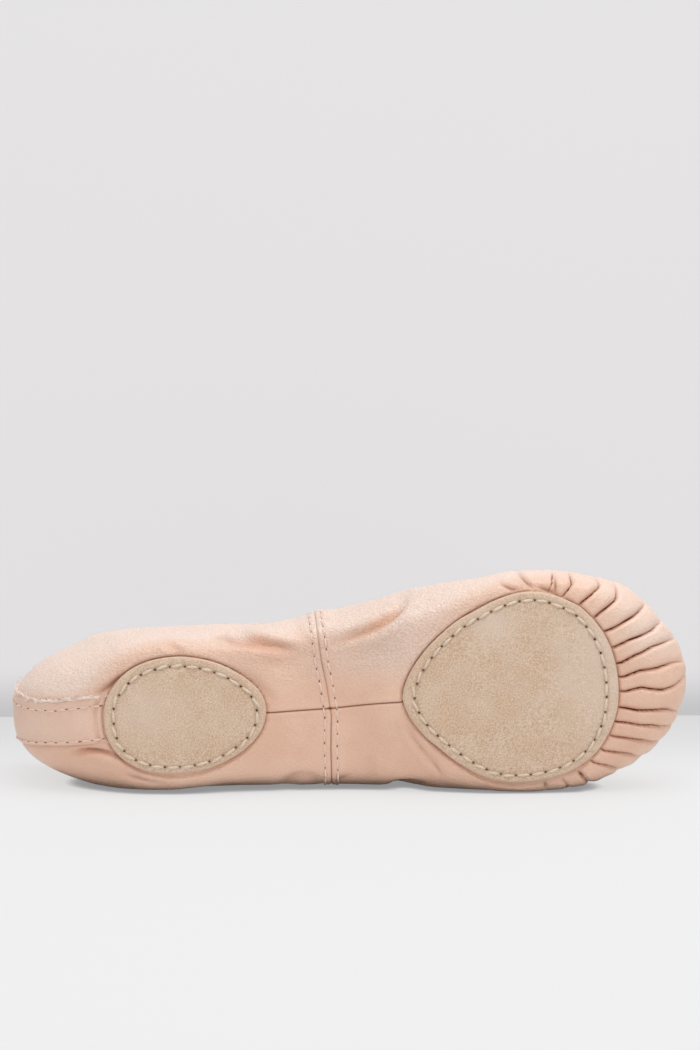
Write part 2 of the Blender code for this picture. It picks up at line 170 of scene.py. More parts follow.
# along, collar_along: share of LENGTH. across, collar_across: share of half BALL_WIDTH. widest: height of
# the widest line, mm. sole, rim: tread edge and opening edge, as shares of the way out to that line.
# rise: collar height between SIDE_HEIGHT and the heel or instep. lean: of the collar edge inwards, degrees.
LAST_COLUMNS = (
    "along", "across", "widest", "sole", "rim", "collar_along", "collar_across", "rise", "lean"
)
LAST = {
    "heel_back": (0.000, 0.000, 21.0, 0.50, 0.31, 0.016, 0.000, 1.00, 8.0),
    "heel_corner": (0.009, 0.260, 20.5, 0.51, 0.31, 0.024, 0.210, 0.94, 12.0),
    "heel_flank": (0.043, 0.455, 19.5, 0.54, 0.32, 0.062, 0.375, 0.70, 18.0),
    "heel_bend": (0.096, 0.610, 18.5, 0.61, 0.35, 0.118, 0.455, 0.42, 24.0),
    "heel_side": (0.160, 0.712, 17.5, 0.72, 0.38, 0.180, 0.500, 0.22, 28.0),
    "heel_mid": (0.245, 0.722, 16.8, 0.80, 0.36, 0.255, 0.515, 0.10, 30.0),
    "heel_front": (0.330, 0.724, 16.0, 0.70, 0.00, 0.330, 0.525, 0.03, 32.0),
    "waist": (0.468, 0.775, 15.0, 0.69, 0.00, 0.455, 0.535, 0.00, 34.0),
    "instep": (0.596, 0.888, 13.5, 0.66, 0.00, 0.560, 0.530, 0.12, 38.0),
    "ball": (0.766, 1.000, 12.0, 0.89, 0.58, 0.640, 0.450, 0.50, 48.0),
    "toe_side": (0.862, 0.925, 11.5, 0.84, 0.55, 0.672, 0.300, 0.80, 56.0),
    "toe_bend": (0.926, 0.750, 11.5, 0.74, 0.53, 0.683, 0.170, 0.94, 60.0),
    "toe_corner": (0.976, 0.450, 11.8, 0.665, 0.50, 0.688, 0.080, 0.99, 62.0),
    "toe_tip": (1.000, 0.000, 12.0, 0.645, 0.48, 0.690, 0.000, 1.00, 62.0),
}


def last_sections():
    """The table in millimetres, mirrored into a loop: u is 0 at the heel and 0.5 at the toe."""
    half = []
    for name, row in LAST.items():
        size = dict(zip(LAST_COLUMNS, row))
        end_height = HEEL_HEIGHT if name.startswith(("heel", "waist")) else INSTEP_HEIGHT
        half.append([
            size["along"] * LENGTH, size["across"] * BALL_WIDTH / 2, size["widest"], size["sole"],
            size["collar_along"] * LENGTH, size["collar_across"] * BALL_WIDTH / 2,
            SIDE_HEIGHT + size["rise"] * (end_height - SIDE_HEIGHT), size["lean"], size["rim"],
        ])
    half = np.array(half)
    mirrored = half[-2:0:-1] * np.array([1, -1, 1, 1, 1, -1, 1, 1, 1])
    loop = np.vstack([half, mirrored, half[:1]])
    run = run_along(loop[:, :2])
    knots = run / run[-1]
    smooth = periodic_spline(knots[:-1], loop[:-1, :-1])

    def section(u):
        return np.column_stack([smooth(u), np.interp(np.mod(u, 1.0), knots, loop[:, -1])])

    return section, dict(zip(LAST, knots))


SECTION, KNOT = last_sections()


def station_to_u(station):
    """The section on the upper side whose widest point is at this station along the shoe."""
    u = np.linspace(0.0, 0.5, LOOKUP_STEPS)
    return np.interp(station, SECTION(u)[:, 0], u)


def bearing_of(u):
    """Direction of a section's spoke from the fan point of the toe, degrees."""
    along, across = SECTION(u)[:, :2].T
    return np.degrees(np.arctan2(across, along - TOE_FAN))


def bearing_to_u(bearing):
    """The section of the front half whose spoke has this bearing."""
    u = np.linspace(0.3, 0.7, LOOKUP_STEPS)
    return np.interp(-np.asarray(bearing), -bearing_of(u), u)


print("sections round the foot:", len(LAST) * 2 - 2)

# %% [markdown]
# ## The skin
# Between the sections the leather follows three runs: the flat tread, a full curve that puffs out from the
# tread edge to the widest line, and a leaning curve up to the collar. Bezier curves give that fullness from
# two handles each, and sharing their points out by length keeps the mesh even.

# %% Skin of the upper
ARCH_RISE = 2.6
ARCH_BACK = 62.0
ARCH_FRONT = 116.0
TOE_SPRING = 3.2
TREAD_ROLL = 1.1
PUFF = 1.6
EDGE_HANDLE = 0.5
BELLY_HANDLE = 0.55
COLLAR_HANDLE = 0.42
BELLY_LEAN = 0.75
HEM_WIDTH = 7.0
CURVE_STEPS = 64
UP = np.array([0.0, 0.0, 1.0])


def tread_height(along, across):
    arch = ARCH_RISE * np.sin(math.pi * np.clip((along - ARCH_BACK) / (ARCH_FRONT - ARCH_BACK), 0, 1)) ** 2
    spring = TOE_SPRING * np.clip((along - TOE_FAN) / (LENGTH - TOE_FAN), 0.0, 1.0) ** 2
    return arch + spring + TREAD_ROLL * (across / (BALL_WIDTH / 2)) ** 2


def flat(plan):
    """Points of the plan, or ways in it, at height 0."""
    return np.concatenate([plan, np.zeros(plan.shape[:-1] + (1,))], axis=-1)


def on_tread(plan, lift=0.0):
    """Points of the plan, lifted so much above the tread."""
    return flat(plan) + UP * (tread_height(plan[..., 0], plan[..., 1]) + lift)[..., None]


def bezier(p0, p1, p2, p3):
    t = np.linspace(0.0, 1.0, CURVE_STEPS)[None, :, None]
    p0, p1, p2, p3 = (p[:, None, :] for p in (p0, p1, p2, p3))
    return p0 * (1 - t) ** 3 + 3 * p1 * t * (1 - t) ** 2 + 3 * p2 * t * t * (1 - t) + p3 * t**3


def resample(curves, shares):
    """Points at these shares of each curve's length, and the lengths."""
    runs = [run_along(curve) for curve in curves]
    points = [read_at(share * run[-1], run, curve) for share, run, curve in zip(shares, runs, curves)]
    return np.array(points), np.array([run[-1] for run in runs])


def skin(u, tread_rows, lower_rows, wall_rows, hem_rows):
    """The smooth upper: points[section, row] and, for each, its run past the tread edge and past the widest
    line and below the collar. Row shares run from opening to tread edge, widest line, hem and collar."""
    along, across, widest, sole, c_along, c_across, c_height, lean, rim = SECTION(u).T
    start = np.column_stack([np.clip(along, HEEL_FAN, TOE_FAN), np.zeros_like(along)])
    way = np.column_stack([along, across]) - start
    reach_out = np.linalg.norm(way, axis=1)[:, None]
    edge = on_tread(start + way * sole[:, None])
    belly = np.column_stack([along, across, widest])
    collar = np.column_stack([c_along, c_across, c_height])
    shares = rim[:, None] + (sole - rim)[:, None] * tread_rows
    tread = on_tread(start[:, None, :] + way[:, None, :] * shares[:, :, None])

    reach = np.linalg.norm((belly - edge)[:, :2], axis=1)[:, None]
    drop = (belly - edge)[:, 2][:, None] * BELLY_HANDLE
    leave = edge + flat(way / reach_out) * EDGE_HANDLE * reach - UP * PUFF
    lower = bezier(edge, leave, belly - UP * drop, belly)
    tilt = np.radians(lean)[:, None]
    inward = unit(flat((collar - belly)[:, :2]))
    handle = COLLAR_HANDLE * np.linalg.norm(collar - belly, axis=1)[:, None]
    arrive = inward * np.sin(tilt) + UP * np.cos(tilt)
    upper = bezier(belly, belly + UP * np.cos(tilt * BELLY_LEAN) * handle, collar - arrive * handle, collar)

    lower_shares = np.tile(lower_rows, (len(u), 1))
    lower_points, lower_run = resample(lower, lower_shares)
    upper_length = np.linalg.norm(np.diff(upper, axis=1), axis=2).sum(axis=1)
    hem = (1.0 - HEM_WIDTH / upper_length)[:, None]
    upper_shares = np.hstack([hem * wall_rows, hem + (1.0 - hem) * hem_rows])
    upper_points, upper_run = resample(upper, upper_shares)
    past_edge = np.hstack([(shares - sole[:, None]) * reach_out, lower_shares * lower_run[:, None],
                           lower_run[:, None] + upper_shares * upper_run[:, None]])
    return {
        "u": u,
        "points": np.concatenate([tread, lower_points, upper_points], axis=1),
        "past_edge": past_edge,
        "past_widest": past_edge - lower_run[:, None],
        "below_collar": (lower_run + upper_run)[:, None] - past_edge,
        "on_arch": rim < 1e-6,
        "station": along,
        "lower_run": lower_run[:, None],
    }


def normals_of(points, closed):
    """Outward normals of a grid of sections, which may close into a ring."""
    around = np.gradient(points, axis=0)
    if closed:
        around = np.roll(points, -1, axis=0) - np.roll(points, 1, axis=0)
    normal = np.cross(np.gradient(points, axis=1), around)
    return normal / np.maximum(np.linalg.norm(normal, axis=2, keepdims=True), 1e-9)


print("tread height at the arch, mm:", tread_height((ARCH_BACK + ARCH_FRONT) / 2, 0.0))

# %% Grid over the skin
# shares of each run at which the rows of the grid lie
TREAD_ROWS = np.concatenate([[0.0, 0.012, 0.03], np.linspace(0.05, 1.0, 27)])
LOWER_ROWS = np.linspace(0.0, 1.0, 37)[1:]
WALL_ROWS = np.linspace(0.0, 1.0, 14)[1:]
HEM_ROWS = np.array([0.1, 0.25, 0.45, 0.65, 0.82, 0.93, 1.0])
CROSS_SEAM_ALONG = 87.0
SEAM_BAND = 3.0
PLEATS_FROM = 64.0
COLUMN_COUNTS = (100, 28, 24, 36, 96, 154)
EDGE_SOFTENING = 40
EDGE_REACH = 4.0
# how far the cross seam strays from its station, at places across the shoe, mm
SEAM_LEAN_AT = (-24.0, -13.0, -2.0, 6.0, 12.0, 24.0)
SEAM_LEAN = (0.0, 0.5, 1.35, 0.7, -0.2, -0.9)
SEAM_LEAN_REACH = 12.0
CENTRE_SEAM_LOW = 1.0
CENTRE_SEAM_SAG = 0.7
CENTRE_SEAM_REACH = 9.0
CENTRE_SEAM_ENDS = (58.0, 116.0)
CENTRE_SEAM_FADE = 8.0


def columns_round():
    """Sections round the loop, closer together at the cross seam and round the pleated toe."""
    seam = station_to_u(np.array([CROSS_SEAM_ALONG - SEAM_BAND, CROSS_SEAM_ALONG + SEAM_BAND]))
    stops = (KNOT["heel_back"], KNOT["heel_front"], seam[0], seam[1], KNOT["instep"],
             float(bearing_to_u(PLEATS_FROM)), KNOT["toe_tip"])
    half = np.concatenate([np.linspace(a, b, n, endpoint=False)
                           for a, b, n in zip(stops[:-1], stops[1:], COLUMN_COUNTS)])
    return np.concatenate([half, [0.5], 1.0 - half[:0:-1]])


def soften_edge(grid):
    """Rounds the line where the flat tread turns into the side."""
    points = grid["points"]
    share = 0.5 * bell(grid["past_edge"][:, 1:-1, None] / EDGE_REACH)
    for _ in range(EDGE_SOFTENING):
        between = (points[:, :-2] + points[:, 2:]) / 2
        points[:, 1:-1] += share * (between - points[:, 1:-1])
    return grid


def lean_seams(grid):
    """Slides the grid over the waist, so that its lines follow two seams which were not sewn quite true."""
    points = grid["points"]
    station = grid["station"]
    grid["from_centre"] = np.abs(points[..., 1]).copy()
    lean = np.interp(points[..., 1], SEAM_LEAN_AT, SEAM_LEAN)
    from_seam = bell((station - CROSS_SEAM_ALONG) / SEAM_LEAN_REACH)[:, None]
    points[..., 0] += lean * from_seam
    back, front = CENTRE_SEAM_ENDS
    on_waist = smoothstep((station - back) / CENTRE_SEAM_FADE)
    on_waist = on_waist * smoothstep((front - station) / CENTRE_SEAM_FADE)
    low = (CENTRE_SEAM_LOW + CENTRE_SEAM_SAG * from_seam) * on_waist[:, None]
    points[..., 1] -= low * bell(points[..., 1] / CENTRE_SEAM_REACH)
    return grid


ALL_ROWS = (TREAD_ROWS, LOWER_ROWS, WALL_ROWS, HEM_ROWS)
SKIN = lean_seams(soften_edge(skin(columns_round(), *ALL_ROWS)))
SKIN["normals"] = normals_of(SKIN["points"], closed=True)
SKIN["normals"][SKIN["on_arch"], 0] = -UP
print("skin grid:", SKIN["points"].shape[:2])

# %% [markdown]
# ## Laying the shoe down
# The soft shoe rests on its side, on heel and ball, and its waist sags a little between them. One function
# tilts every point, presses what touches the floor flat and turns millimetres into metres. The packed
# forefoot patch then tells how far the shoe stands from the origin.

# %% From shoe sizes to the scene
WAIST_SAG = 1.9
WAIST_SAG_ALONG = 77.0
WAIST_SAG_LENGTH = 22.0
SIDE_SINK = 1.0
SIDE_FLAT = 0.6
TOE_DROP = 1.2
TOE_DROP_START = 167.0
TOE_DROP_LENGTH = 19.0
CLEARANCE = 0.3
PATCH_THICKNESS = 1.4
# back tip, widest station and front tip along the shoe, half width, and the power of the outline behind and
# ahead of the widest station; then how much fuller the low side is behind that station, how far the stitches
# lie inside the edge, and how much further at the tips and less on the upper side
PATCH_COLUMNS = ("back", "widest", "front", "half_width", "back_power", "front_power",
                 "fullness", "stitch_inset", "tip_margin", "upper_trim")
PATCH_ROWS = {
    "forefoot_sole": (108.2, 144.0, 168.2, 26.7, 1.62, 2.08, 2.2, 2.95, 0.4, 0.65),
    "heel_sole": (25.7, 45.8, 70.6, 16.7, 2.16, 1.86, 0.0, 2.65, 0.0, 0.0),
}
PATCHES = {name: dict(zip(PATCH_COLUMNS, row)) for name, row in PATCH_ROWS.items()}


def side_rest():
    """Tilt at which heel and ball both touch the floor, and how far the centre line stands above it."""
    outline = SECTION(np.linspace(0.5, 1.0, 401))[:, :2]
    touch = ("heel_side", "ball")
    heel, ball = ((LAST[name][0] * LENGTH, LAST[name][1] * BALL_WIDTH / 2) for name in touch)
    tilt = math.atan2(ball[1] - heel[1], ball[0] - heel[0])
    lowest = np.min(outline[:, 0] * math.sin(tilt) + outline[:, 1] * math.cos(tilt))
    return tilt, lowest + SIDE_SINK + SIDE_FLAT


TILT, FLOOR = side_rest()
SHIFT = np.zeros(3)


def turn_down(ways):
    """Turns directions of the shoe into those of the scene."""
    along, across, height = np.moveaxis(np.asarray(ways, float), -1, 0)
    x = along * math.cos(TILT) - across * math.sin(TILT)
    z = along * math.sin(TILT) + across * math.cos(TILT)
    return np.stack([x, height, z], axis=-1)


def lay_down(points):
    """Places points of the shoe in the scene."""
    along, across, height = np.moveaxis(np.asarray(points, float), -1, 0)
    sag = WAIST_SAG * bell((along - WAIST_SAG_ALONG) / WAIST_SAG_LENGTH)
    across = across - sag * (2.0 * across / BALL_WIDTH) ** 2
    across = across - TOE_DROP * smoothstep((along - TOE_DROP_START) / TOE_DROP_LENGTH)
    laid = turn_down(np.stack([along, across, height], axis=-1))
    z = laid[..., 2] - FLOOR
    pressed = np.clip(z + SIDE_SINK, 0.0, 2.0 * SIDE_SINK)
    laid[..., 2] = np.where(z < SIDE_SINK, pressed**2 / (4.0 * SIDE_SINK), z)
    return laid * MM + SHIFT


back_tip = lay_down([PATCHES["forefoot_sole"]["back"], 0.0, -CLEARANCE - PATCH_THICKNESS])
packed_corner = np.array(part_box("forefoot_sole")[0])
SHIFT = np.array([packed_corner[0] - back_tip[0], packed_corner[1] - back_tip[1], 0.0])
print("shoe origin in the scene, mm:", np.round(SHIFT / MM, 2))

# %% [markdown]
# ## Noise and creases
# Worn leather is never quite smooth. A sculptor would drag soft troughs into it by hand. Here each main
# crease is a row of a table, given by three points in the shoe's own sizes, with a width on each side and
# a depth, so it can be moved or deepened without touching the mesh. A gentle noise fills what is left.

# %% Soft noise
NOISE_SIDE = 32
NOISE_OFFSET = 7.3


def soft_noise(points, size, seed):
    """Smooth noise from -1 to 1 at these points, with lumps of about this size in millimetres."""
    lattice = np.random.RandomState(seed).uniform(-1.0, 1.0, (NOISE_SIDE,) * 3)
    at = np.asarray(points) / size + NOISE_OFFSET
    cell = np.floor(at).astype(int)
    part = smoothstep(at - cell)
    total = np.zeros(at.shape[:-1])
    for corner in np.ndindex(2, 2, 2):
        index = np.mod(cell + corner, NOISE_SIDE)
        weight = np.prod(np.where(np.array(corner) == 1, part, 1.0 - part), axis=-1)
        total += lattice[index[..., 0], index[..., 1], index[..., 2]] * weight
    return total


print("noise at the heel:", round(float(soft_noise([0.0, 0.0, 0.0], 5.0, 1)), 3))

# %% Creases
# start, middle and end as (along, across), width to the left and right of that way, and depth, all in mm;
# a negative depth is a ridge
CREASES = {
    "above_heel_patch": ((43.6, 21.0), (46.7, 18.7), (49.4, 16.8), 0.9, 1.6, 0.75),
    "above_heel_patch_ridge": ((41.6, 20.4), (44.6, 18.2), (47.0, 16.9), 1.2, 1.2, -0.40),
    "strip_wedge": ((23.8, 7.6), (27.8, 9.6), (32.2, 12.9), 1.0, 0.7, 1.60),
    "strip_end": ((24.6, 6.4), (24.0, 0.3), (24.0, -5.2), 0.6, 0.6, 0.90),
    "under_strip": ((15.0, -8.4), (22.8, -7.6), (29.8, -10.2), 0.55, 0.9, 1.90),
    "under_strip_ridge": ((16.0, -10.4), (22.8, -9.8), (29.4, -12.2), 1.1, 1.1, -0.55),
    "under_heel_patch": ((29.0, -13.8), (34.4, -16.4), (42.0, -18.6), 0.8, 0.9, 0.55),
    "heel_top_fold": ((15.3, 14.7), (23.1, 18.4), (31.8, 21.1), 1.6, 2.0, 0.50),
    "heel_corner": ((11.8, 15.9), (20.4, 19.5), (29.4, 21.9), 1.5, 1.6, 0.80),
    "upper_trough": ((57.6, 21.2), (62.8, 21.6), (68.2, 21.0), 0.8, 1.1, 0.90),
    "upper_trough_ridge": ((60.8, 19.0), (68.8, 17.2), (76.8, 14.2), 1.5, 1.8, -0.60),
    "second_hollow": ((60.6, 21.2), (68.6, 20.2), (80.0, 15.8), 1.2, 2.6, 3.00),
    "seam_hollow": ((70.0, 12.6), (75.0, 12.6), (81.0, 11.6), 2.2, 2.2, 0.50),
    "seam_top_rise": ((84.0, 26.5), (87.4, 25.5), (91.0, 26.5), 2.6, 2.6, -1.30),
    "seam_top_fold": ((78.6, 24.4), (81.1, 21.6), (83.8, 18.0), 1.1, 1.9, 0.50),
    "instep_trough": ((112.0, 27.2), (104.4, 21.2), (92.0, 16.6), 1.0, 2.4, 2.00),
    "instep_ridge": ((113.4, 24.9), (106.8, 19.0), (98.0, 14.4), 1.8, 1.4, -0.80),
    "instep_second": ((92.5, 12.6), (98.7, 14.2), (106.0, 15.6), 1.4, 2.4, 0.28),
    "heel_patch_tip": ((65.6, 11.0), (69.9, 6.4), (73.4, 0.8), 0.9, 1.2, 0.70),
    "floor_fold": ((72.5, -22.6), (78.4, -19.2), (84.6, -22.0), 1.2, 1.8, 0.70),
    "floor_bulge": ((77.6, -23.6), (80.0, -21.6), (83.0, -23.6), 1.4, 1.4, -0.35),
    "waist_low": ((98.6, -15.0), (98.2, -19.0), (98.5, -23.0), 1.2, 1.6, 0.50),
    "low_diagonal": ((87.6, -22.6), (89.8, -21.6), (92.4, -20.6), 0.9, 1.0, 0.50),
    "floor_notch": ((102.6, -26.2), (107.6, -25.6), (113.6, -26.4), 1.7, 1.5, 1.90),
    "patch_fold": ((108.4, -5.0), (112.0, -13.4), (118.4, -21.4), 0.9, 0.9, 0.50),
    "patch_fold_ridge": ((106.4, -5.0), (110.2, -14.4), (116.6, -23.0), 1.1, 1.1, -0.35),
    "patch_fold_branch": ((113.4, -16.4), (116.4, -20.0), (118.2, -24.0), 0.9, 0.9, 0.35),
    "pucker_first": ((136.4, 30.4), (140.0, 27.9), (143.0, 27.8), 0.6, 0.7, 0.65),
    "pucker_sharp": ((142.4, 32.0), (144.9, 29.4), (146.6, 27.0), 0.6, 0.7, 0.95),
    "pucker_low": ((146.6, 28.0), (150.1, 26.8), (153.4, 25.0), 0.7, 0.7, 0.65),
    "pucker_upright": ((152.9, 30.6), (152.7, 27.8), (152.3, 25.2), 0.6, 0.6, 0.50),
    "pucker_floor_front": ((155.2, -24.4), (156.3, -25.8), (157.2, -27.6), 0.6, 0.6, 0.75),
    "pucker_floor_back": ((145.8, -26.4), (146.1, -27.6), (146.3, -29.2), 0.7, 0.7, 0.70),
}
CREASE_STEPS = 25
CREASE_REACH = 3.0
CREASE_TAPER = 0.6
HOLLOW_DEPTH = 1.5
# a crease counts as sharp while SHARP_START less SHARP_FALL times its whole width is above 0
SHARP_START = 1.6
SHARP_FALL = 0.6


def crease_field(along, across):
    """Over the plan of the sole: height of all creases, how sharp a crease lies there, and where soft hollows
    take painted shade.
    """
    place = np.stack([along, across], axis=-1)
    push, sharp, hollow = (np.zeros_like(along) for _ in range(3))
    t = np.linspace(0.0, 1.0, CREASE_STEPS)[:, None]
    for start, middle, end, left, right, depth in CREASES.values():
        handle = 2.0 * np.array(middle) - 0.5 * (np.array(start) + np.array(end))
        line = np.array(start) * (1 - t) ** 2 + 2 * handle * t * (1 - t) + np.array(end) * t * t
        reach = CREASE_REACH * max(left, right)
        inside = np.all((place > line.min(axis=0) - reach) & (place < line.max(axis=0) + reach), axis=-1)
        offset = place[inside][:, None, :] - line[None]
        closest = np.argmin((offset**2).sum(axis=-1), axis=1)
        offset = offset[np.arange(len(closest)), closest]
        way = np.gradient(line, axis=0)[closest]
        side = way[:, 0] * offset[:, 1] - way[:, 1] * offset[:, 0]
        width = np.where(side > 0.0, left, right)
        taper = np.sin(math.pi * np.clip(t[closest, 0], 0.02, 0.98)) ** CREASE_TAPER
        shape = bell(np.linalg.norm(offset, axis=1) / width) * taper
        push[inside] -= depth * shape
        narrow = np.clip(SHARP_START - SHARP_FALL * (left + right), 0.0, 1.0)
        sharp[inside] = np.maximum(sharp[inside], shape**2 * narrow * (depth > 0))
        hollow[inside] += np.clip(depth, 0.0, None) * shape / HOLLOW_DEPTH
    return push, sharp, np.clip(hollow, 0.0, 1.0)


print("creases by hand:", len(CREASES))

# %% [markdown]
# ## Toe pleats
# At the toe the flat leather has more edge than the sole, so it is gathered in folds and caught under the
# suede. Cloth could be simulated shut, but the folds of the real shoe each have their own place. A table
# gives the bearing of each crease at four points of its run, and a rounded wave fills the space between.

# %% Pleat field
PLEAT_SHARES = (0.0, 0.22, 0.5, 1.0)
# bearings at those shares of the way from patch to widest line, degrees, then depth and reach past it, mm
PLEATS = (
    (60.5, 60.5, 61.0, 61.5, 0.7, 4.0),
    (52.2, 51.8, 53.0, 54.0, 1.5, 5.0),
    (43.0, 42.0, 41.6, 43.0, 2.2, 8.0),
    (33.5, 33.9, 34.2, 37.2, 2.4, 8.0),
    (25.0, 25.0, 25.4, 26.2, 2.4, 8.0),
    (16.9, 17.3, 17.5, 18.2, 2.4, 7.0),
    (8.3, 10.6, 11.5, 11.0, 2.3, 7.0),
    (1.8, 3.8, 4.8, 4.4, 2.3, 7.0),
    (-5.1, -3.0, -3.6, -0.4, 2.3, 8.0),
    (-13.5, -12.8, -11.3, -12.2, 2.2, 8.0),
    (-20.6, -19.2, -17.8, -17.0, 2.1, 8.0),
    (-28.1, -26.2, -24.6, -23.4, 2.0, 7.0),
    (-36.2, -34.0, -32.2, -30.4, 1.8, 6.0),
    (-43.7, -41.3, -40.4, -40.0, 1.6, 6.0),
    (-51.8, -51.8, -52.2, -52.6, 1.3, 5.0),
    (-60.5, -60.5, -60.5, -61.0, 0.5, 4.0),
)
PLEAT_TUCK = 0.5
PLEAT_RAMP = 1.5
PLEAT_EDGE = 6.0
PLEAT_LEAN = 0.72
PLEAT_FULLNESS = 1.2
# how far the creases wander, degrees, and how much the folds crumple, with the size of the lumps, mm
PLEAT_WANDER = 0.9
WANDER_SIZE = 5.0
PLEAT_CRUMPLE = 0.25
CRUMPLE_SIZE = 2.6
CRUMPLE_AT = 0.75
CRUMPLE_REACH = 0.3
# how much of a fold stands above the skin's own line, and how flat its crest is, at patch and widest line
CREASE_SHARE = (0.50, 0.80)
CREST_POWER = (6.0, 3.0)
# how deep the folds are at shares of the way from the patch to the widest line
DEPTH_SHARES = (0.0, 0.15, 0.45, 0.75, 1.0)
DEPTH_AT = (1.00, 1.00, 0.90, 0.46, 0.06)
# how fast the painted shade of a crease gives way beside its line, and where across the shoe the painted
# shade of the low creases begins to fade
CREASE_TONE = 1.7
LOW_FADE_FROM = -20.0
LOW_FADE_WIDTH = 14.0
FULLEST_AT = 0.42
FULLNESS_REACH = 0.3


def low_side_fullness(size, behind):
    """Extra half width on a patch's low side, at a share of the way from its widest station to its back."""
    return size["fullness"] * bell((behind - FULLEST_AT) / FULLNESS_REACH)


def patch_distance(size, along, across):
    """Distance outside a patch's outline, measured along the ray from its middle."""
    x = along - size["widest"]
    length = np.where(x > 0.0, size["front"] - size["widest"], size["widest"] - size["back"])
    power = np.where(x > 0.0, size["front_power"], size["back_power"])
    half = size["half_width"] + np.where(across < 0.0, low_side_fullness(size, -x / length), 0.0)
    level = (np.abs(x / length) ** power + np.abs(across / half) ** power) ** (1.0 / power)
    return np.hypot(x, across) * (1.0 - 1.0 / np.maximum(level, 1e-3))


def pleat_field(grid):
    """Push of the folds along the normals, and the painted shade near each crease."""
    points = grid["points"]
    bearing = bearing_of(grid["u"])[:, None] + PLEAT_WANDER * soft_noise(points, WANDER_SIZE, 5)
    turned = np.clip(grid["past_edge"] / grid["lower_run"], 0.0, 1.0)
    outside = patch_distance(PATCHES["forefoot_sole"], points[..., 0], points[..., 1])
    power = np.interp(turned, (0.0, 1.0), CREST_POWER)
    sunk = np.interp(turned, (0.0, 1.0), CREASE_SHARE)
    crumple = PLEAT_CRUMPLE * soft_noise(points, CRUMPLE_SIZE, 6)
    crumple = crumple * bell((turned - CRUMPLE_AT) / CRUMPLE_REACH)
    low_fade = smoothstep((points[..., 1] - LOW_FADE_FROM) / LOW_FADE_WIDTH)
    full_depth = np.interp(turned, DEPTH_SHARES, DEPTH_AT) * smoothstep((outside + PLEAT_TUCK) / PLEAT_RAMP)
    crease_at = [np.interp(turned, PLEAT_SHARES, row[:4]) for row in PLEATS]
    push = np.zeros_like(bearing)
    crease_shade = np.zeros_like(bearing)

    def add(inside, x, depth, reach, lean=1.0):
        along_fold = full_depth * (1.0 - smoothstep(grid["past_widest"] / reach))
        crest = 1.0 - np.abs(2.0 * np.clip(x, 0.0, 1.0) ** lean - 1.0) ** power
        fold = PLEAT_FULLNESS * depth * along_fold * (crest - sunk)
        push[inside] = (fold + crumple * (along_fold > 0.0))[inside]
        tone = np.clip(1.0 - CREASE_TONE * crest, 0.0, 1.0) * (0.5 + 0.5 * low_fade)
        crease_shade[inside] = (along_fold * tone)[inside]

    for before, after, first, second in zip(crease_at[:-1], crease_at[1:], PLEATS[:-1], PLEATS[1:]):
        x = (before - bearing) / (before - after)
        depth, reach = (first[k] + (second[k] - first[k]) * x for k in (4, 5))
        add((bearing <= before) & (bearing > after), x, depth, reach, PLEAT_LEAN)
    for crease, row, sign in ((crease_at[0], PLEATS[0], 1.0), (crease_at[-1], PLEATS[-1], -1.0)):
        x = sign * (bearing - crease) / PLEAT_EDGE
        fade = 1.0 - smoothstep(x - 0.5)
        add((x > 0.0) & (x < 2.0), np.minimum(x, 1.0) / 2.0, row[4] * fade, row[5])
    return push, crease_shade


print("toe pleats:", len(PLEATS) - 1, "folds")

# %% [markdown]
# ## The leather upper
# All the relief is added up here: pleats, creases, the swell of the leather round each patch, the grooves of
# the seams, the step of the hem and a little noise. The same field is stored as an attribute, so that the
# finish can paint shade into what lies deep in a fold.

# %% Sizes of the relief
# creases fade past the widest line; the painted shade of soft hollows fades past the tread edge
CREASE_FADE = 6.0
# painted shade in sharp creases
SHARP_TONE = 0.65
HOLLOW_END = 7.0
HOLLOW_FADE = 6.0
# swells and dips past the widest line of the upper side: along, reach along, height
SIDE_SWELLS = ((24.6, 5.0, 0.8), (71.5, 7.0, -1.2), (111.0, 5.0, 0.5), (131.5, 5.5, -0.8), (172.5, 5.0, 0.8),
               (182.0, 2.5, -0.9))
SIDE_SWELL_PAST = 4.5
SIDE_SWELL_REACH = 5.5
# the leather swells round the patches, except at the pleats
SWELL = 1.05
SWELL_LENGTH = 9.0
SWELL_RAMP = 0.6
SWELL_SIDE_FADE = 8.0
SWELL_FRONT = 152.0
SWELL_FADE = 16.0
# painted shade along the line where the leather is tucked under a patch, darker on the upper side and towards
# the heel
TUCK_TONE = 0.3
TUCK_ACROSS = 0.4
TUCK_ALONG = 0.3
TUCK_TONES = (0.05, 0.28)
TUCK_WIDTH = 0.35
TUCK_REACH = 4.0
TUCK_MEAN = 0.7
TUCK_CHANGE = 0.5
TUCK_LUMPS = 3.0
# seams: a groove between two ridges, and how dark the groove is: a dark joint with painted shade in it,
# deeper on the low side
SEAM_GROOVE = 0.32
SEAM_GROOVE_WIDTH = 0.2
SEAM_RIDGE = 0.28
SEAM_RIDGE_OFFSET = 1.0
SEAM_RIDGE_WIDTH = 0.9
SEAM_STITCH_OFFSET = 1.75
SEAM_STITCH_WIDTH = 0.4
SEAM_TONE = 0.4
SEAM_TONE_LOW = 0.2
SEAM_TONE_FADE = 8.0
CENTRE_GROOVE_WIDTH = 0.25
CENTRE_RIDGE = 0.12
CENTRE_RIDGE_OFFSET = 0.8
CENTRE_RIDGE_WIDTH = 0.6
CENTRE_TONE = 0.66
KNOT_TONE = 0.7
KNOT_LENGTH = 0.9
KNOT_WIDTH = 0.5
NO_SEAM = 9.0
# the seat of the heel strip and the step of the hem
STRIP_SEAT = 0.75
STRIP_SEAT_WIDTH = 7.6
STRIP_SEAT_RAMP = 2.0
STRIP_SEAT_GAP = 0.5
STRIP_SEAT_END = 4.0
STRIP_SEAT_FADE = 3.0
HEM_STEP = 0.5
HEM_RAMP = 0.8
# lumps of the leather everywhere: height, size, seed
LEATHER_LUMPS = ((0.16, 13.0, 3), (0.07, 4.5, 4))
print("swells along the upper side:", len(SIDE_SWELLS))


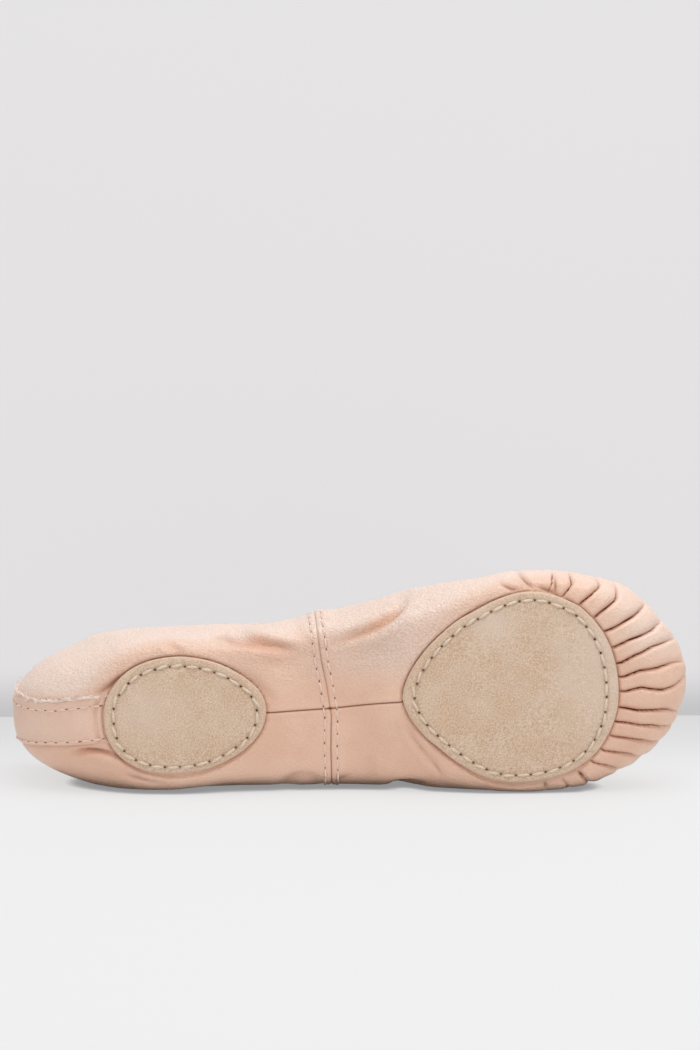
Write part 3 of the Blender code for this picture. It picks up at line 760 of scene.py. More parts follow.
# %% Relief of the leather
def patch_swell(grid, sole_side):
    """Push of the leather round both patches, and the painted shade where it is tucked under them."""
    along, across = grid["points"][..., 0], grid["points"][..., 1]
    unpleated = sole_side * smoothstep((SWELL_FRONT - along) / SWELL_FADE)
    fade = 1.0 - smoothstep(grid["past_edge"] / SWELL_SIDE_FADE)
    uneven = TUCK_MEAN + TUCK_CHANGE * soft_noise(grid["points"], TUCK_LUMPS, 7)
    push = np.zeros_like(along)
    depth = np.zeros_like(along)
    for size in PATCHES.values():
        outside = patch_distance(size, along, across)
        push += SWELL * smoothstep(outside / SWELL_RAMP) * bell(outside / SWELL_LENGTH) * unpleated * fade
        ahead = along - size["widest"]
        shaded = TUCK_TONE + (TUCK_ACROSS * across - TUCK_ALONG * ahead) / size["half_width"]
        tucked = bell(outside / TUCK_WIDTH) * unpleated * (grid["past_edge"] < TUCK_REACH)
        depth = np.maximum(depth, np.clip(shaded, *TUCK_TONES) * tucked * uneven)
    return push, depth


def seam_relief(grid):
    """Push of the cross seam, the centre seam and their crossing, and their darkness: a dark joint with
    painted shade in the grooves, deeper on the low side.
    """
    seam = np.abs(grid["station"] - CROSS_SEAM_ALONG)[:, None]
    groove = bell(seam / SEAM_GROOVE_WIDTH)
    sewn = bell((seam - SEAM_STITCH_OFFSET) / SEAM_STITCH_WIDTH)
    ridge = bell((seam - SEAM_RIDGE_OFFSET) / SEAM_RIDGE_WIDTH) - 0.5 * sewn
    on_centre = grid["on_arch"][:, None] & (grid["past_edge"] < 0.0)
    centre = np.where(on_centre, grid["from_centre"], NO_SEAM)
    centre_groove = bell(centre / CENTRE_GROOVE_WIDTH)
    centre_ridge = bell((centre - CENTRE_RIDGE_OFFSET) / CENTRE_RIDGE_WIDTH)
    push = SEAM_RIDGE * ridge + CENTRE_RIDGE * centre_ridge - SEAM_GROOVE * (groove + centre_groove)
    tone = SEAM_TONE + SEAM_TONE_LOW * smoothstep(-grid["points"][..., 1] / SEAM_TONE_FADE)
    knot = bell(seam / KNOT_LENGTH) * bell(centre / KNOT_WIDTH)
    return push, np.max([tone * groove, CENTRE_TONE * centre_groove, KNOT_TONE * knot], axis=0)


def strip_seat(grid):
    """How far the leather is sunk under the heel strip."""
    along, across = grid["points"][..., 0], grid["points"][..., 1]
    from_patch = patch_distance(PATCHES["heel_sole"], along, across)
    behind = (along < HEEL_FAN) & (from_patch > STRIP_SEAT_GAP)
    end = smoothstep((HEM_WIDTH + STRIP_SEAT_END - grid["below_collar"]) / STRIP_SEAT_FADE)
    seat = smoothstep((STRIP_SEAT_WIDTH - np.abs(across)) / STRIP_SEAT_RAMP) * behind
    return STRIP_SEAT * seat * (1.0 - end)


def leather_relief(grid):
    """Push of all relief along the normals, the painted shade of each point in a fold, and where soft hollows
    take painted shade.
    """
    points = grid["points"]
    along, across = points[..., 0], points[..., 1]
    sole_side = 1.0 - smoothstep(grid["past_widest"] / CREASE_FADE)
    push, pleat_shade = pleat_field(grid)
    creases, sharp, hollow = crease_field(along, across)
    near_outline = bell((grid["past_widest"] - SIDE_SWELL_PAST) / SIDE_SWELL_REACH) * (across >= 0.0)
    side = near_outline * sum(height * bell((along - at) / reach) for at, reach, height in SIDE_SWELLS)
    swell, tuck_shade = patch_swell(grid, sole_side)
    seams, seam_shade = seam_relief(grid)
    hem = HEM_STEP * (1.0 - smoothstep((grid["below_collar"] - HEM_WIDTH) / HEM_RAMP))
    uneven = sum(height * soft_noise(points, size, seed) for height, size, seed in LEATHER_LUMPS)
    push = push + creases * sole_side + side + swell + seams - strip_seat(grid) + hem + uneven
    depth = np.max([pleat_shade, SHARP_TONE * sharp * sole_side, tuck_shade, seam_shade], axis=0)
    hollow *= 1.0 - smoothstep((grid["past_edge"] - HOLLOW_END) / HOLLOW_FADE)
    return push, np.clip(depth, 0.0, 1.0), hollow


RELIEF, FOLD_SHADE, HOLLOW_SHADE = leather_relief(SKIN)
LEATHER = SKIN["points"] + SKIN["normals"] * RELIEF[..., None]
print("leather relief, mm:", round(float(RELIEF.min()), 2), "to", round(float(RELIEF.max()), 2))


# %% Mesh helpers
def grid_faces(columns, rows, close_columns, close_rows, skip=None):
    """Quads of a grid. skip[column] leaves out the strip that closes the rows there."""
    i = np.arange(columns if close_columns else columns - 1)
    j = np.arange(rows if close_rows else rows - 1)
    i, j = (a.ravel() for a in np.meshgrid(i, j, indexing="ij"))
    if skip is not None:
        both = skip & np.roll(skip, -1)
        keep = ~((j == rows - 1) & both[i])
        i, j = i[keep], j[keep]
    after, above = (i + 1) % columns, (j + 1) % rows
    return np.column_stack([i * rows + j, after * rows + j, after * rows + above, i * rows + above])


def grid_piece(name, points, material, close_columns=True, close_rows=True, skip=None, **attributes):
    """A closed mesh through a grid of shoe points, with its faces turned outwards."""
    columns, rows = points.shape[:2]
    mesh = bpy.data.meshes.new(name)
    faces = grid_faces(columns, rows, close_columns, close_rows, skip)
    mesh.from_pydata(lay_down(points).reshape(-1, 3), [], faces.tolist())
    for label, values in attributes.items():
        values = np.pad(values, ((0, 0), (0, rows - values.shape[1])))
        mesh.attributes.new(label, "FLOAT", "POINT").data.foreach_set("value", values.ravel().astype("f"))
    build = bmesh.new()
    build.from_mesh(mesh)
    bmesh.ops.remove_doubles(build, verts=build.verts, dist=1e-6)
    bmesh.ops.dissolve_degenerate(build, edges=build.edges, dist=1e-7)
    if build.calc_volume(signed=True) < 0.0:
        bmesh.ops.reverse_faces(build, faces=build.faces)
    build.to_mesh(mesh)
    open_edges = sum(1 for edge in build.edges if not edge.is_manifold)
    build.free()
    mesh.shade_smooth()
    mesh.materials.append(material)
    print(name, "has", len(mesh.polygons), "faces and", open_edges, "open edges")
    return add_object(name, mesh)


def dress(piece, slot, *nodes):
    """Fixes a piece to the shoe and hides the solids that it stands for; slot is not used."""
    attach(piece, "root")
    if nodes:
        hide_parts(*nodes)


print("faces of a closed grid of 4 by 3:", len(grid_faces(4, 3, True, True)))

# %% [markdown]
# ## Finishes
# Four materials make the shoe: fine-grained leather, napped suede, plain cotton and cream thread. Photos of
# leather could be wrapped on, but procedural nodes have no seams and no fixed resolution. What more than one
# finish needs is a node group: tone_drift gives slow changes of colour and leather_grain the pores.

# %% Node helpers
class Nodes:
    """Adds nodes to a tree. An input takes a value or the socket of another node."""

    def __init__(self, tree):
        self.tree = tree

    def feed(self, node, **links):
        """Joins or fills a node's inputs; _ stands for a space in their names."""
        self.fill(node, {label.replace("_", " "): value for label, value in links.items()})

    def fill(self, node, links):
        for key, value in links.items():
            if isinstance(value, bpy.types.NodeSocket):
                self.tree.links.new(value, node.inputs[key])
            else:
                node.inputs[key].default_value = value

    def add(self, kind, links=None, **settings):
        made = self.tree.nodes.new(kind)
        for key, value in settings.items():
            setattr(made, key, value)
        self.fill(made, links or {})
        return made

    def group(self, tree, **links):
        made = self.add("ShaderNodeGroup", node_tree=tree)
        self.feed(made, **links)
        return made.outputs

    def math(self, operation, a, b=0.0):
        return self.add("ShaderNodeMath", {0: a, 1: b}, operation=operation).outputs[0]

    def times(self, a, b):
        return self.math("MULTIPLY", a, b)

    def plus(self, a, b):
        return self.math("ADD", a, b)

    def place(self):
        return self.add("ShaderNodeTexCoord").outputs["Object"]

    def millimetres(self, stretch=(1.0, 1.0, 1.0), turn=(0.0, 0.0, 0.0)):
        """Object coordinates in millimetres, which may be turned and stretched."""
        links = {"Vector": self.place(), "Rotation": turn, "Scale": tuple(s / MM for s in stretch)}
        return self.add("ShaderNodeMapping", links).outputs[0]

    def attribute(self, name):
        return self.add("ShaderNodeAttribute", attribute_name=name).outputs["Fac"]

    def spread(self, value, low, high, to_low=0.0, to_high=1.0):
        """Stretches part of a value's range over a new one."""
        links = {"Value": value, "From Min": low, "From Max": high, "To Min": to_low, "To Max": to_high}
        return self.add("ShaderNodeMapRange", links, interpolation_type="SMOOTHSTEP").outputs[0]

    def blend(self, share, a, b):
        """A colour between two, which are inputs 6 and 7 of the node."""
        return self.add("ShaderNodeMix", {0: share, 6: a, 7: b}, data_type="RGBA").outputs[2]

    def noise(self, vector, size, detail=3.0, roughness=0.55):
        """Noise from 0 to 1 with lumps of about this size in millimetres."""
        joined = isinstance(size, bpy.types.NodeSocket)
        scale = self.math("DIVIDE", 1.0, size) if joined else 1.0 / size
        links = {"Vector": vector, "Detail": detail, "Roughness": roughness, "Scale": scale}
        return self.add("ShaderNodeTexNoise", links).outputs["Fac"]

    def bump(self, height, depth_mm):
        links = {"Strength": 1.0, "Distance": depth_mm * MM, "Height": height}
        return self.add("ShaderNodeBump", links).outputs["Normal"]


def new_group(name, inputs, outputs):
    """A shader node group with float inputs and outputs, and its two end nodes."""
    tree = bpy.data.node_groups.new(name, "ShaderNodeTree")
    for label, value in inputs.items():
        socket = tree.interface.new_socket(label, in_out="INPUT", socket_type="NodeSocketFloat")
        socket.default_value = value
    for label in outputs:
        tree.interface.new_socket(label, in_out="OUTPUT", socket_type="NodeSocketFloat")
    return Nodes(tree), tree.nodes.new("NodeGroupInput").outputs, tree.nodes.new("NodeGroupOutput")


def new_material(name, **settings):
    """A material, its nodes and its shader, with constants set on the shader."""
    material = bpy.data.materials.new(name)
    material.use_nodes = True
    nodes = Nodes(material.node_tree)
    shader = material.node_tree.nodes["Principled BSDF"]
    nodes.feed(shader, **settings)
    return material, nodes, shader


def srgb(red, green, blue):
    """A colour given as it looks on screen, 0 to 255, as the shader's linear values."""
    share = np.array([red, green, blue]) / 255.0
    linear = np.where(share <= 0.04045, share / 12.92, ((share + 0.055) / 1.055) ** 2.4)
    return (*(float(v) for v in linear), 1.0)


print("leather mid tone, linear:", [round(v, 3) for v in srgb(228, 196, 176)])


# %% Groups that several finishes share
def make_tone_drift():
    nodes, ends, out = new_group("tone_drift", {"Lump Size": 14.0}, ["Drift"])
    slow = nodes.noise(nodes.millimetres(), ends["Lump Size"], detail=2.0)
    nodes.feed(out, Drift=nodes.spread(slow, 0.32, 0.68))
    return nodes.tree


def make_leather_grain():
    sizes = {"Pore Size": 0.8, "Wrinkle Size": 3.0, "Fine Size": 0.36}
    nodes, ends, out = new_group("leather_grain", sizes, ["Height", "Pores", "Specks"])
    place = nodes.millimetres()
    wander = nodes.add("ShaderNodeTexNoise", {"Vector": place, "Scale": 0.9, "Detail": 1.0})
    bent = nodes.add("ShaderNodeVectorMath", {0: place, 1: wander.outputs["Color"]}, operation="ADD")
    cells = nodes.add("ShaderNodeTexVoronoi", feature="SMOOTH_F1")
    scale = nodes.math("DIVIDE", 1.0, ends["Pore Size"])
    nodes.feed(cells, Vector=bent.outputs[0], Smoothness=0.35, Scale=scale)
    pores = nodes.spread(cells.outputs["Distance"], 0.1, 0.75)
    drawn = nodes.millimetres(stretch=(0.4, 1.0, 1.0), turn=(0.0, math.radians(25.0), 0.0))
    wrinkles = nodes.noise(drawn, ends["Wrinkle Size"], detail=4.0, roughness=0.6)
    fine = nodes.noise(drawn, ends["Fine Size"], detail=2.0, roughness=0.6)
    raised = nodes.plus(nodes.times(pores, -0.3), nodes.times(wrinkles, 0.3))
    raised = nodes.plus(raised, nodes.times(fine, 0.8))
    nodes.feed(out, Height=raised, Specks=nodes.spread(fine, 0.3, 0.7), Pores=pores)
    return nodes.tree


TONE_DRIFT = make_tone_drift()
LEATHER_GRAIN = make_leather_grain()
print("shared groups:", TONE_DRIFT.name, LEATHER_GRAIN.name)

# %% Leather finish
WARM_GLOSS = (1.0, 0.84, 0.74, 1.0)
# pale tone of a painted highlight on the upper side
PAINTED_HIGHLIGHT_TONE = srgb(246, 226, 213)
# tone of painted shade in soft hollows
HOLLOW_SHADE_TONE = srgb(212, 160, 132)


def make_leather(name, light, deep, speck_tone, fold_shade_tone, relief):
    """Fine-grained leather with a painted highlight that makes its upper side paler, and painted shade in its
    hollows and folds.
    """
    material, nodes, shader = new_material(
        name, Specular_IOR_Level=0.45, Specular_Tint=WARM_GLOSS, Coat_Roughness=0.33,
        Sheen_Weight=0.1, Sheen_Roughness=0.4, Sheen_Tint=WARM_GLOSS)
    drift = nodes.group(TONE_DRIFT, Lump_Size=16.0)["Drift"]
    grain = nodes.group(LEATHER_GRAIN, Pore_Size=0.7, Wrinkle_Size=2.2)
    colour = nodes.blend(drift, light, deep)
    # painted highlight: the upper side paler
    colour = nodes.blend(nodes.times(nodes.attribute("stretched"), 0.9), colour, PAINTED_HIGHLIGHT_TONE)
    # painted shade in soft hollows
    colour = nodes.blend(nodes.times(nodes.attribute("hollow"), 0.4), colour, HOLLOW_SHADE_TONE)
    wrinkled = nodes.spread(nodes.attribute("wrinkled"), 0.0, 2.0, 0.5, 1.5)
    specks = nodes.times(nodes.times(grain["Pores"], grain["Specks"]), wrinkled)
    colour = nodes.blend(nodes.times(specks, 0.36), colour, speck_tone)
    # painted shade in folds, creases, seam grooves and where the leather is tucked under a patch
    fold = nodes.spread(nodes.attribute("fold_depth"), 0.05, 0.78)
    nodes.feed(
        shader,
        Base_Color=nodes.blend(fold, colour, fold_shade_tone),
        Coat_Weight=nodes.spread(fold, 0.0, 0.5, 0.35, 0.0),
        Roughness=nodes.spread(grain["Pores"], 0.0, 1.0, 0.38, 0.52),
        Normal=nodes.bump(nodes.times(grain["Height"], wrinkled), relief),
    )
    return material


# the fourth colour of each leather is the tone of its painted shade in folds
PINK_LEATHER = make_leather("pink_leather", srgb(239, 200, 176), srgb(232, 189, 164), srgb(206, 158, 132),
                            srgb(124, 46, 16), 0.42)
STRIP_LEATHER = make_leather("strip_leather", srgb(238, 204, 184), srgb(231, 194, 172), srgb(208, 162, 138),
                             srgb(146, 84, 60), 0.24)
print("leather finishes:", PINK_LEATHER.name, STRIP_LEATHER.name)

# %% [markdown]
# ## Hollow upper
# The upper is one skin with a real thickness, rolled over at the collar and open under the two patches.
# Solidify would double the fine pleats on the inside, where nobody sees them, so each section is instead
# closed by a few rows that run back down the inside.

# %% Inside of the leather
LEATHER_THICKNESS = 1.0
HEM_FOLD = 0.9
HEM_FOLD_END = 1.0
HEM_FOLD_RAMP = 0.6
ROLL_STEPS = 5
INSIDE_ROWS = 13
# how far the inside gives way to deep creases, at the tread and at the side, and over how many points
TREAD_DENT = 0.9
SIDE_DENT = 3.6
DENT_SPREAD = 6
SEAM_DENT_FADE = 4.0


def moved(field, step, axis):
    """The field moved by some columns, which run round the shoe, or by some rows, which end at the collar."""
    if axis == 0:
        return np.roll(field, step, axis=0)
    return field[:, np.clip(np.arange(field.shape[1]) + step, 0, field.shape[1] - 1)]


def deepest_near(relief):
    """How far the creases near each point reach inwards, evened out so that the inside stays smooth."""
    deep = np.clip(-relief, 0.0, None)
    for axis in (0, 1):
        deep = np.max([moved(deep, step, axis) for step in range(-DENT_SPREAD, DENT_SPREAD + 1)], axis=0)
    for _ in range(DENT_SPREAD):
        for axis in (0, 1):
            deep = (moved(deep, 1, axis) + 2.0 * deep + moved(deep, -1, axis)) / 4.0
    deep = np.minimum(deep, np.where(SKIN["past_edge"] < 0.0, TREAD_DENT, SIDE_DENT))
    return np.where(SKIN["on_arch"][:, None], deep * smoothstep(SKIN["from_centre"] / SEAM_DENT_FADE), deep)


DENTS = deepest_near(RELIEF)
PICKS = np.unique(np.round(np.linspace(LEATHER.shape[1] - 1, 0, INSIDE_ROWS)).astype(int))


def rolled_loop():
    """Closes each section: outer rows, a round roll over the collar, then inside rows back down."""
    fold = HEM_FOLD * (1.0 - smoothstep((SKIN["below_collar"] - HEM_WIDTH - HEM_FOLD_END) / HEM_FOLD_RAMP))
    sunk = (LEATHER_THICKNESS + DENTS + fold)[..., None]
    inner = (SKIN["points"] - SKIN["normals"] * sunk)[:, PICKS[::-1]]
    top, tip = LEATHER[:, -1], inner[:, 0]
    middle, arm = (top + tip) / 2, (top - tip) / 2
    upward = unit(top - LEATHER[:, -2]) * np.linalg.norm(arm, axis=1)[:, None]
    angles = np.linspace(0.0, math.pi, ROLL_STEPS + 2)[1:-1]
    roll = np.stack([middle + arm * math.cos(a) + upward * math.sin(a) for a in angles], axis=1)
    return np.concatenate([LEATHER, roll, inner], axis=1)


print("inside dents, mm: up to", round(float(DENTS.max()), 2))

# %% Leather upper
# painted highlight that makes the upper side pale: from the sole out to the side, at the instep, less towards
# the toe
PALE_FROM = 1.0
PALE_WIDTH = 12.0
PALE_SIDE = 9.0
PALE_SOLE = 0.15
PALE_INSTEP = 0.5
PALE_END = 132.0
PALE_FADE = 26.0
PALE_TOE_LOSS = 0.4
INSTEP_ALONG = 106.0
INSTEP_REACH = 18.0
# how wrinkled it is, which differs from pale at instep and toe; and both on the far side
WRINKLED_INSTEP = 0.4
WRINKLED_TOE_LOSS = 0.7
OVER_LENGTH = 12.0
PALE_OVER = 0.5
WRINKLED_OVER = 0.6


def make_upper():
    along, across = SKIN["points"][..., 0], SKIN["points"][..., 1]
    upper_side = smoothstep((across - PALE_FROM) / PALE_WIDTH)
    instep = bell((along - INSTEP_ALONG) / INSTEP_REACH)
    toe = smoothstep((along - PALE_END) / PALE_FADE)
    over = smoothstep(SKIN["past_widest"] / OVER_LENGTH)
    pale = upper_side * (smoothstep(SKIN["past_edge"] / PALE_SIDE) + PALE_SOLE + PALE_INSTEP * instep)
    pale *= 1.0 - PALE_TOE_LOSS * toe
    pale += (PALE_OVER - pale) * over
    wrinkled = upper_side + (WRINKLED_OVER - upper_side) * over
    wrinkled *= (1.0 - WRINKLED_TOE_LOSS * toe) * (1.0 + WRINKLED_INSTEP * instep * (1.0 - over))
    # the painted highlight stays out of the painted shade of hollows and folds
    stretched = np.clip(pale * (1.0 - np.maximum(HOLLOW_SHADE, FOLD_SHADE)), 0.0, 1.0)
    return grid_piece("upper_leather", rolled_loop(), PINK_LEATHER, skip=SKIN["on_arch"],
                      fold_depth=FOLD_SHADE, stretched=stretched, hollow=HOLLOW_SHADE, wrinkled=wrinkled)


dress(make_upper(), "pink_leather", "upper")

# %% [markdown]
# ## Lining
# Inside, a thin cotton lining is sewn in under the folded hem. It could be a copy of the whole leather, but
# nobody sees the pleats from inside, so it follows the few inside rows of the leather at a small distance.
# Two attributes carry its own thread directions for the weave.

# %% Cotton finish
def make_plain_weave():
    """Threads over and under each other, from coordinates in millimetres."""
    nodes, ends, out = new_group("plain_weave", {"Warp": 0.0, "Weft": 0.0, "Thread Pitch": 0.5}, ["Height"])
    waves = []
    for label in ("Warp", "Weft"):
        turns = nodes.times(nodes.math("DIVIDE", ends[label], ends["Thread Pitch"]), math.pi)
        waves.append(nodes.math("SINE", turns))
    nodes.feed(out, Height=nodes.spread(nodes.times(*waves), -1.0, 1.0))
    return nodes.tree


PLAIN_WEAVE = make_plain_weave()


def make_cotton(name, light, deep):
    material, nodes, shader = new_material(name, Roughness=0.92, Specular_IOR_Level=0.15, Sheen_Weight=0.2)
    warp, weft = nodes.attribute("warp"), nodes.attribute("weft")
    weave = nodes.group(PLAIN_WEAVE, Thread_Pitch=0.55, Warp=warp, Weft=weft)["Height"]
    drift = nodes.group(TONE_DRIFT, Lump_Size=9.0)["Drift"]
    shade = nodes.plus(nodes.times(weave, 0.6), nodes.times(drift, 0.4))
    nodes.feed(shader, Base_Color=nodes.blend(shade, deep, light), Normal=nodes.bump(weave, 0.12))
    return material


COTTON = make_cotton("insole_cotton", srgb(244, 234, 220), srgb(226, 212, 194))
print("weave group:", PLAIN_WEAVE.name)

# %% Lining
LINING_GAP = 0.05
LINING_THICKNESS = 0.3


def make_lining():
    """A thin closed sleeve just inside the leather, up to the folded hem."""
    picks = PICKS[SKIN["below_collar"][0, PICKS] > HEM_WIDTH]
    points, normals, past = (SKIN[key][:, picks] for key in ("points", "normals", "past_edge"))
    outer = points - normals * (LEATHER_THICKNESS + LINING_GAP + DENTS[:, picks])[..., None]
    inner = outer - normals * LINING_THICKNESS
    loop = np.concatenate([outer, inner[:, ::-1]], axis=1)
    run = run_along(points[:, len(picks) // 2])
    warp = np.repeat(run[:, None], loop.shape[1], axis=1)
    weft = np.concatenate([past, past[:, ::-1]], axis=1)
    return grid_piece("upper_lining", loop, COTTON, skip=SKIN["on_arch"], warp=warp, weft=weft)


dress(make_lining(), "insole_cotton")

# %% [markdown]
# ## Insole
# A thin cotton insole covers the tread from inside. A flat outline could be extruded, but the tread has an
# arch and a toe spring, so the insole is a fan of spokes on the same tread, with a soft rounded edge.

# %% Insole
WALL = 1.3
INSOLE_SEAM_ROOM = 0.3
INSOLE_THICKNESS = 1.2
INSOLE_INSET = 1.2
INSOLE_SHARES = np.array([0.0, 0.2, 0.4, 0.6, 0.8, 0.92, 0.98])
INSOLE_EVERY = 4
EDGE_ANGLES = np.radians([0.0, 45.0, 90.0, 135.0, 180.0])


def make_insole():
    """Spokes over the top of the insole, round its edge and back below, on every fourth section."""
    along, across, _, sole = SECTION(SKIN["u"][::INSOLE_EVERY]).T[:4]
    start = np.clip(along, HEEL_FAN, TOE_FAN)
    way = np.column_stack([along - start, across])
    radius = INSOLE_THICKNESS / 2
    reach = (sole * np.linalg.norm(way, axis=1) - INSOLE_INSET - radius)[:, None]
    face = reach * INSOLE_SHARES
    runs = np.hstack([face, reach + radius * np.sin(EDGE_ANGLES), face[:, ::-1]])
    level = np.ones(len(INSOLE_SHARES))
    lift = radius * (1.0 + np.concatenate([level, np.cos(EDGE_ANGLES), -level]))
    plan = np.column_stack([start, np.zeros_like(start)])[:, None] + unit(way)[:, None] * runs[..., None]
    points = on_tread(plan, WALL + INSOLE_SEAM_ROOM + CLEARANCE + lift)
    return grid_piece("insole_cotton", points, COTTON, close_rows=False,
                      warp=points[..., 0], weft=points[..., 1])


dress(make_insole(), "insole_cotton", "insole")

# %% [markdown]
# ## Suede patches
# Each patch is a piece of split suede, cut by hand and sewn on with a running stitch that pulls a shallow
# channel and a row of needle holes into it. Its outline is half one superellipse and half another, which
# gives an egg without listing points. Rings of the mesh crowd together where the edge and the stitches are.

# %% Suede finish
NAP_SIZE = 0.42
# attribute of the patch, how much of it counts, and the tone it brings; the dent's dark tone is painted shade
# in the stitch channel and round the needle holes
SUEDE_MARKS = (
    ("margin", 0.1, (216, 186, 160)), ("rubbed", 0.6, (230, 211, 194)),
    ("rim", 0.7, (224, 190, 166)), ("dent_shade", 0.6, (150, 118, 92)),
)


def make_suede():
    material, nodes, shader = new_material("beige_suede", Specular_IOR_Level=0.12, Sheen_Weight=0.35,
                                           Sheen_Roughness=0.6, Roughness=0.95)
    drift = nodes.group(TONE_DRIFT, Lump_Size=8.0)["Drift"]
    cloud = nodes.group(TONE_DRIFT, Lump_Size=2.4)["Drift"]
    nap = nodes.noise(nodes.millimetres(), NAP_SIZE, detail=4.0, roughness=0.7)
    colour = nodes.blend(drift, srgb(225, 198, 173), srgb(219, 186, 156))
    colour = nodes.blend(nodes.times(cloud, 0.2), colour, srgb(204, 175, 149))
    colour = nodes.blend(nodes.spread(nap, 0.45, 0.75), colour, srgb(184, 150, 121))
    colour = nodes.blend(nodes.spread(nap, 0.55, 0.25, 0.0, 0.95), colour, srgb(241, 218, 196))
    for label, share, tone in SUEDE_MARKS:
        colour = nodes.blend(nodes.times(nodes.attribute(label), share), colour, srgb(*tone))
    nodes.feed(shader, Base_Color=colour, Normal=nodes.bump(nap, 0.16))
    return material


SUEDE = make_suede()
print("suede finish:", SUEDE.name)

# %% Patch outline and stitch line
STITCH_PITCH = 4.2
LOW_SIDE_TRIM = 0.9
HAND_CUT = 0.2
HAND_CUT_LENGTH = 6.0


def patch_outline(size, count):
    """Points round a patch, cut a little unevenly, and their outward normals in the plan of the sole."""
    angle = np.linspace(2.0 * math.pi, 0.0, count, endpoint=False)
    ahead = np.cos(angle) > 0.0
    power = np.where(ahead, size["front_power"], size["back_power"])
    length = np.where(ahead, size["front"] - size["widest"], size["widest"] - size["back"])
    cos, sin = (np.abs(wave) ** (2.0 / power) * np.sign(wave) for wave in (np.cos(angle), np.sin(angle)))
    fuller = low_side_fullness(size, -cos) * (sin < 0.0) - LOW_SIDE_TRIM * smoothstep(-sin)
    half = size["half_width"] + fuller
    outline = np.column_stack([size["widest"] + length * cos, half * sin])
    way = unit(np.roll(outline, -1, axis=0) - np.roll(outline, 1, axis=0))
    normal = np.column_stack([-way[:, 1], way[:, 0]])
    uneven = HAND_CUT * soft_noise(flat(outline), HAND_CUT_LENGTH, 11)
    return outline + normal * uneven[:, None], normal


def even_points(loop, pitch):
    """Points at nearly this pitch round a closed loop."""
    closed = np.vstack([loop, loop[:1]])
    run = run_along(closed)
    at = np.linspace(0.0, run[-1], int(round(run[-1] / pitch)), endpoint=False)
    return read_at(at, run, closed)


def stitch_line(size, pitch):
    """Points at this pitch on the line where a patch is sewn."""
    outline, normal = patch_outline(size, 720)
    inset = size["stitch_inset"] - LOW_SIDE_TRIM * smoothstep(-normal[:, 1])
    inset += size["tip_margin"] * normal[:, 0] ** 2 - size["upper_trim"] * smoothstep(normal[:, 1])
    return even_points(outline - normal * inset[:, None], pitch)


print("forefoot stitches:", len(stitch_line(PATCHES["forefoot_sole"], STITCH_PITCH)))

# %% Patches
PATCH_SPOKES = 440
RING_INSETS = np.array([0.0, 0.06, 0.2, 0.45, 0.8, 1.2, 1.5, 1.8, 2.1, 2.4, 2.7, 3.0, 3.3, 3.6, 4.1, 4.9])
INNER_RINGS = np.linspace(1.0, 0.0, 15)[1:]
BACK_RING_EVERY = 4
EDGE_ROUNDING = 0.45
EDGE_DROP = 0.35
# a low bank inside the edge: height, inset and width; then the channel of the stitches and its holes
BANK = (0.12, 1.5, 0.9)
CHANNEL_DEPTH = 0.28
CHANNEL_WIDTH = 0.6
CHANNEL_STEP = 0.35
# CHANNEL_TONE and DENT_WIDTH: strength and width of painted shade along the stitch channel and round the
# needle holes
CHANNEL_TONE = 0.35
HOLE_DENT = 0.3
HOLE_WIDTH = 0.45
DENT_WIDTH = 0.5
MARGIN_FADE = 0.8
RIM_WIDTH = 0.3
# lumps: height, size, seed. Rubbed spots: along, across, reach along and across, strength
SUEDE_LUMPS = ((0.09, 5.0, 21), (0.04, 1.3, 22))
RUBBED_SPOTS = ((134.5, 19.0, 6.0, 6.0, 1.0), (163.0, 4.0, 12.0, 18.0, 0.9), (38.0, 2.0, 9.0, 8.0, 0.7))


def distance_to(others, points):
    """Distance from each point to the nearest of the others, in the plan of the sole."""
    found = np.full(points.shape[:-1], np.inf)
    for other in others:
        found = np.minimum(found, np.linalg.norm(points - other, axis=-1))
    return found


def patch_face(plan, size, inset):
    """Relief of a patch's tread face and the attributes that its finish reads."""
    from_line = distance_to(stitch_line(size, CHANNEL_STEP), plan)
    from_hole = distance_to(stitch_line(size, STITCH_PITCH), plan)
    bank, bank_inset, bank_width = BANK
    relief = bank * bell((inset - bank_inset) / bank_width)
    relief -= EDGE_DROP * np.clip(1.0 - inset / EDGE_ROUNDING, 0.0, 1.0) ** 2
    relief -= CHANNEL_DEPTH * bell(from_line / CHANNEL_WIDTH) + HOLE_DENT * bell(from_hole / HOLE_WIDTH)
    relief += sum(height * soft_noise(flat(plan), lump, seed) for height, lump, seed in SUEDE_LUMPS)
    rubbed = sum(strength * bell(np.hypot((plan[..., 0] - at) / reach, (plan[..., 1] - off) / span))
                 for at, off, reach, span, strength in RUBBED_SPOTS)
    # painted shade along the stitch channel and round each needle hole
    dent_shade = CHANNEL_TONE * bell(from_line / DENT_WIDTH) + bell(from_hole / DENT_WIDTH)
    return relief, {
        "margin": smoothstep((size["stitch_inset"] - inset) / MARGIN_FADE),
        "rim": bell(inset / RIM_WIDTH),
        "dent_shade": np.clip(dent_shade, 0.0, 1.0),
        "rubbed": rubbed,
    }


def make_patch(name):
    """A fan of rings over the tread face and fewer rings back over the hidden face."""
    size = PATCHES[name]
    middle = np.array([size["widest"], 0.0])
    arm = patch_outline(size, PATCH_SPOKES)[0] - middle
    length = np.linalg.norm(arm, axis=1)[:, None]
    edge = 1.0 - RING_INSETS / length
    face = np.hstack([edge, edge[:, -1:] * INNER_RINGS])[:, ::-1]
    plan = middle + arm[:, None, :] * face[:, :, None]
    relief, marks = patch_face(plan, size, (1.0 - face) * length)
    back = np.append(np.arange(plan.shape[1] - 1, 0, -BACK_RING_EVERY), 0)
    points = np.concatenate([on_tread(plan, -CLEARANCE - PATCH_THICKNESS - relief),
                             on_tread(plan[:, back], -CLEARANCE / 2)], axis=1)
    return grid_piece(name.replace("_sole", "_suede"), points, SUEDE, close_rows=False, **marks)


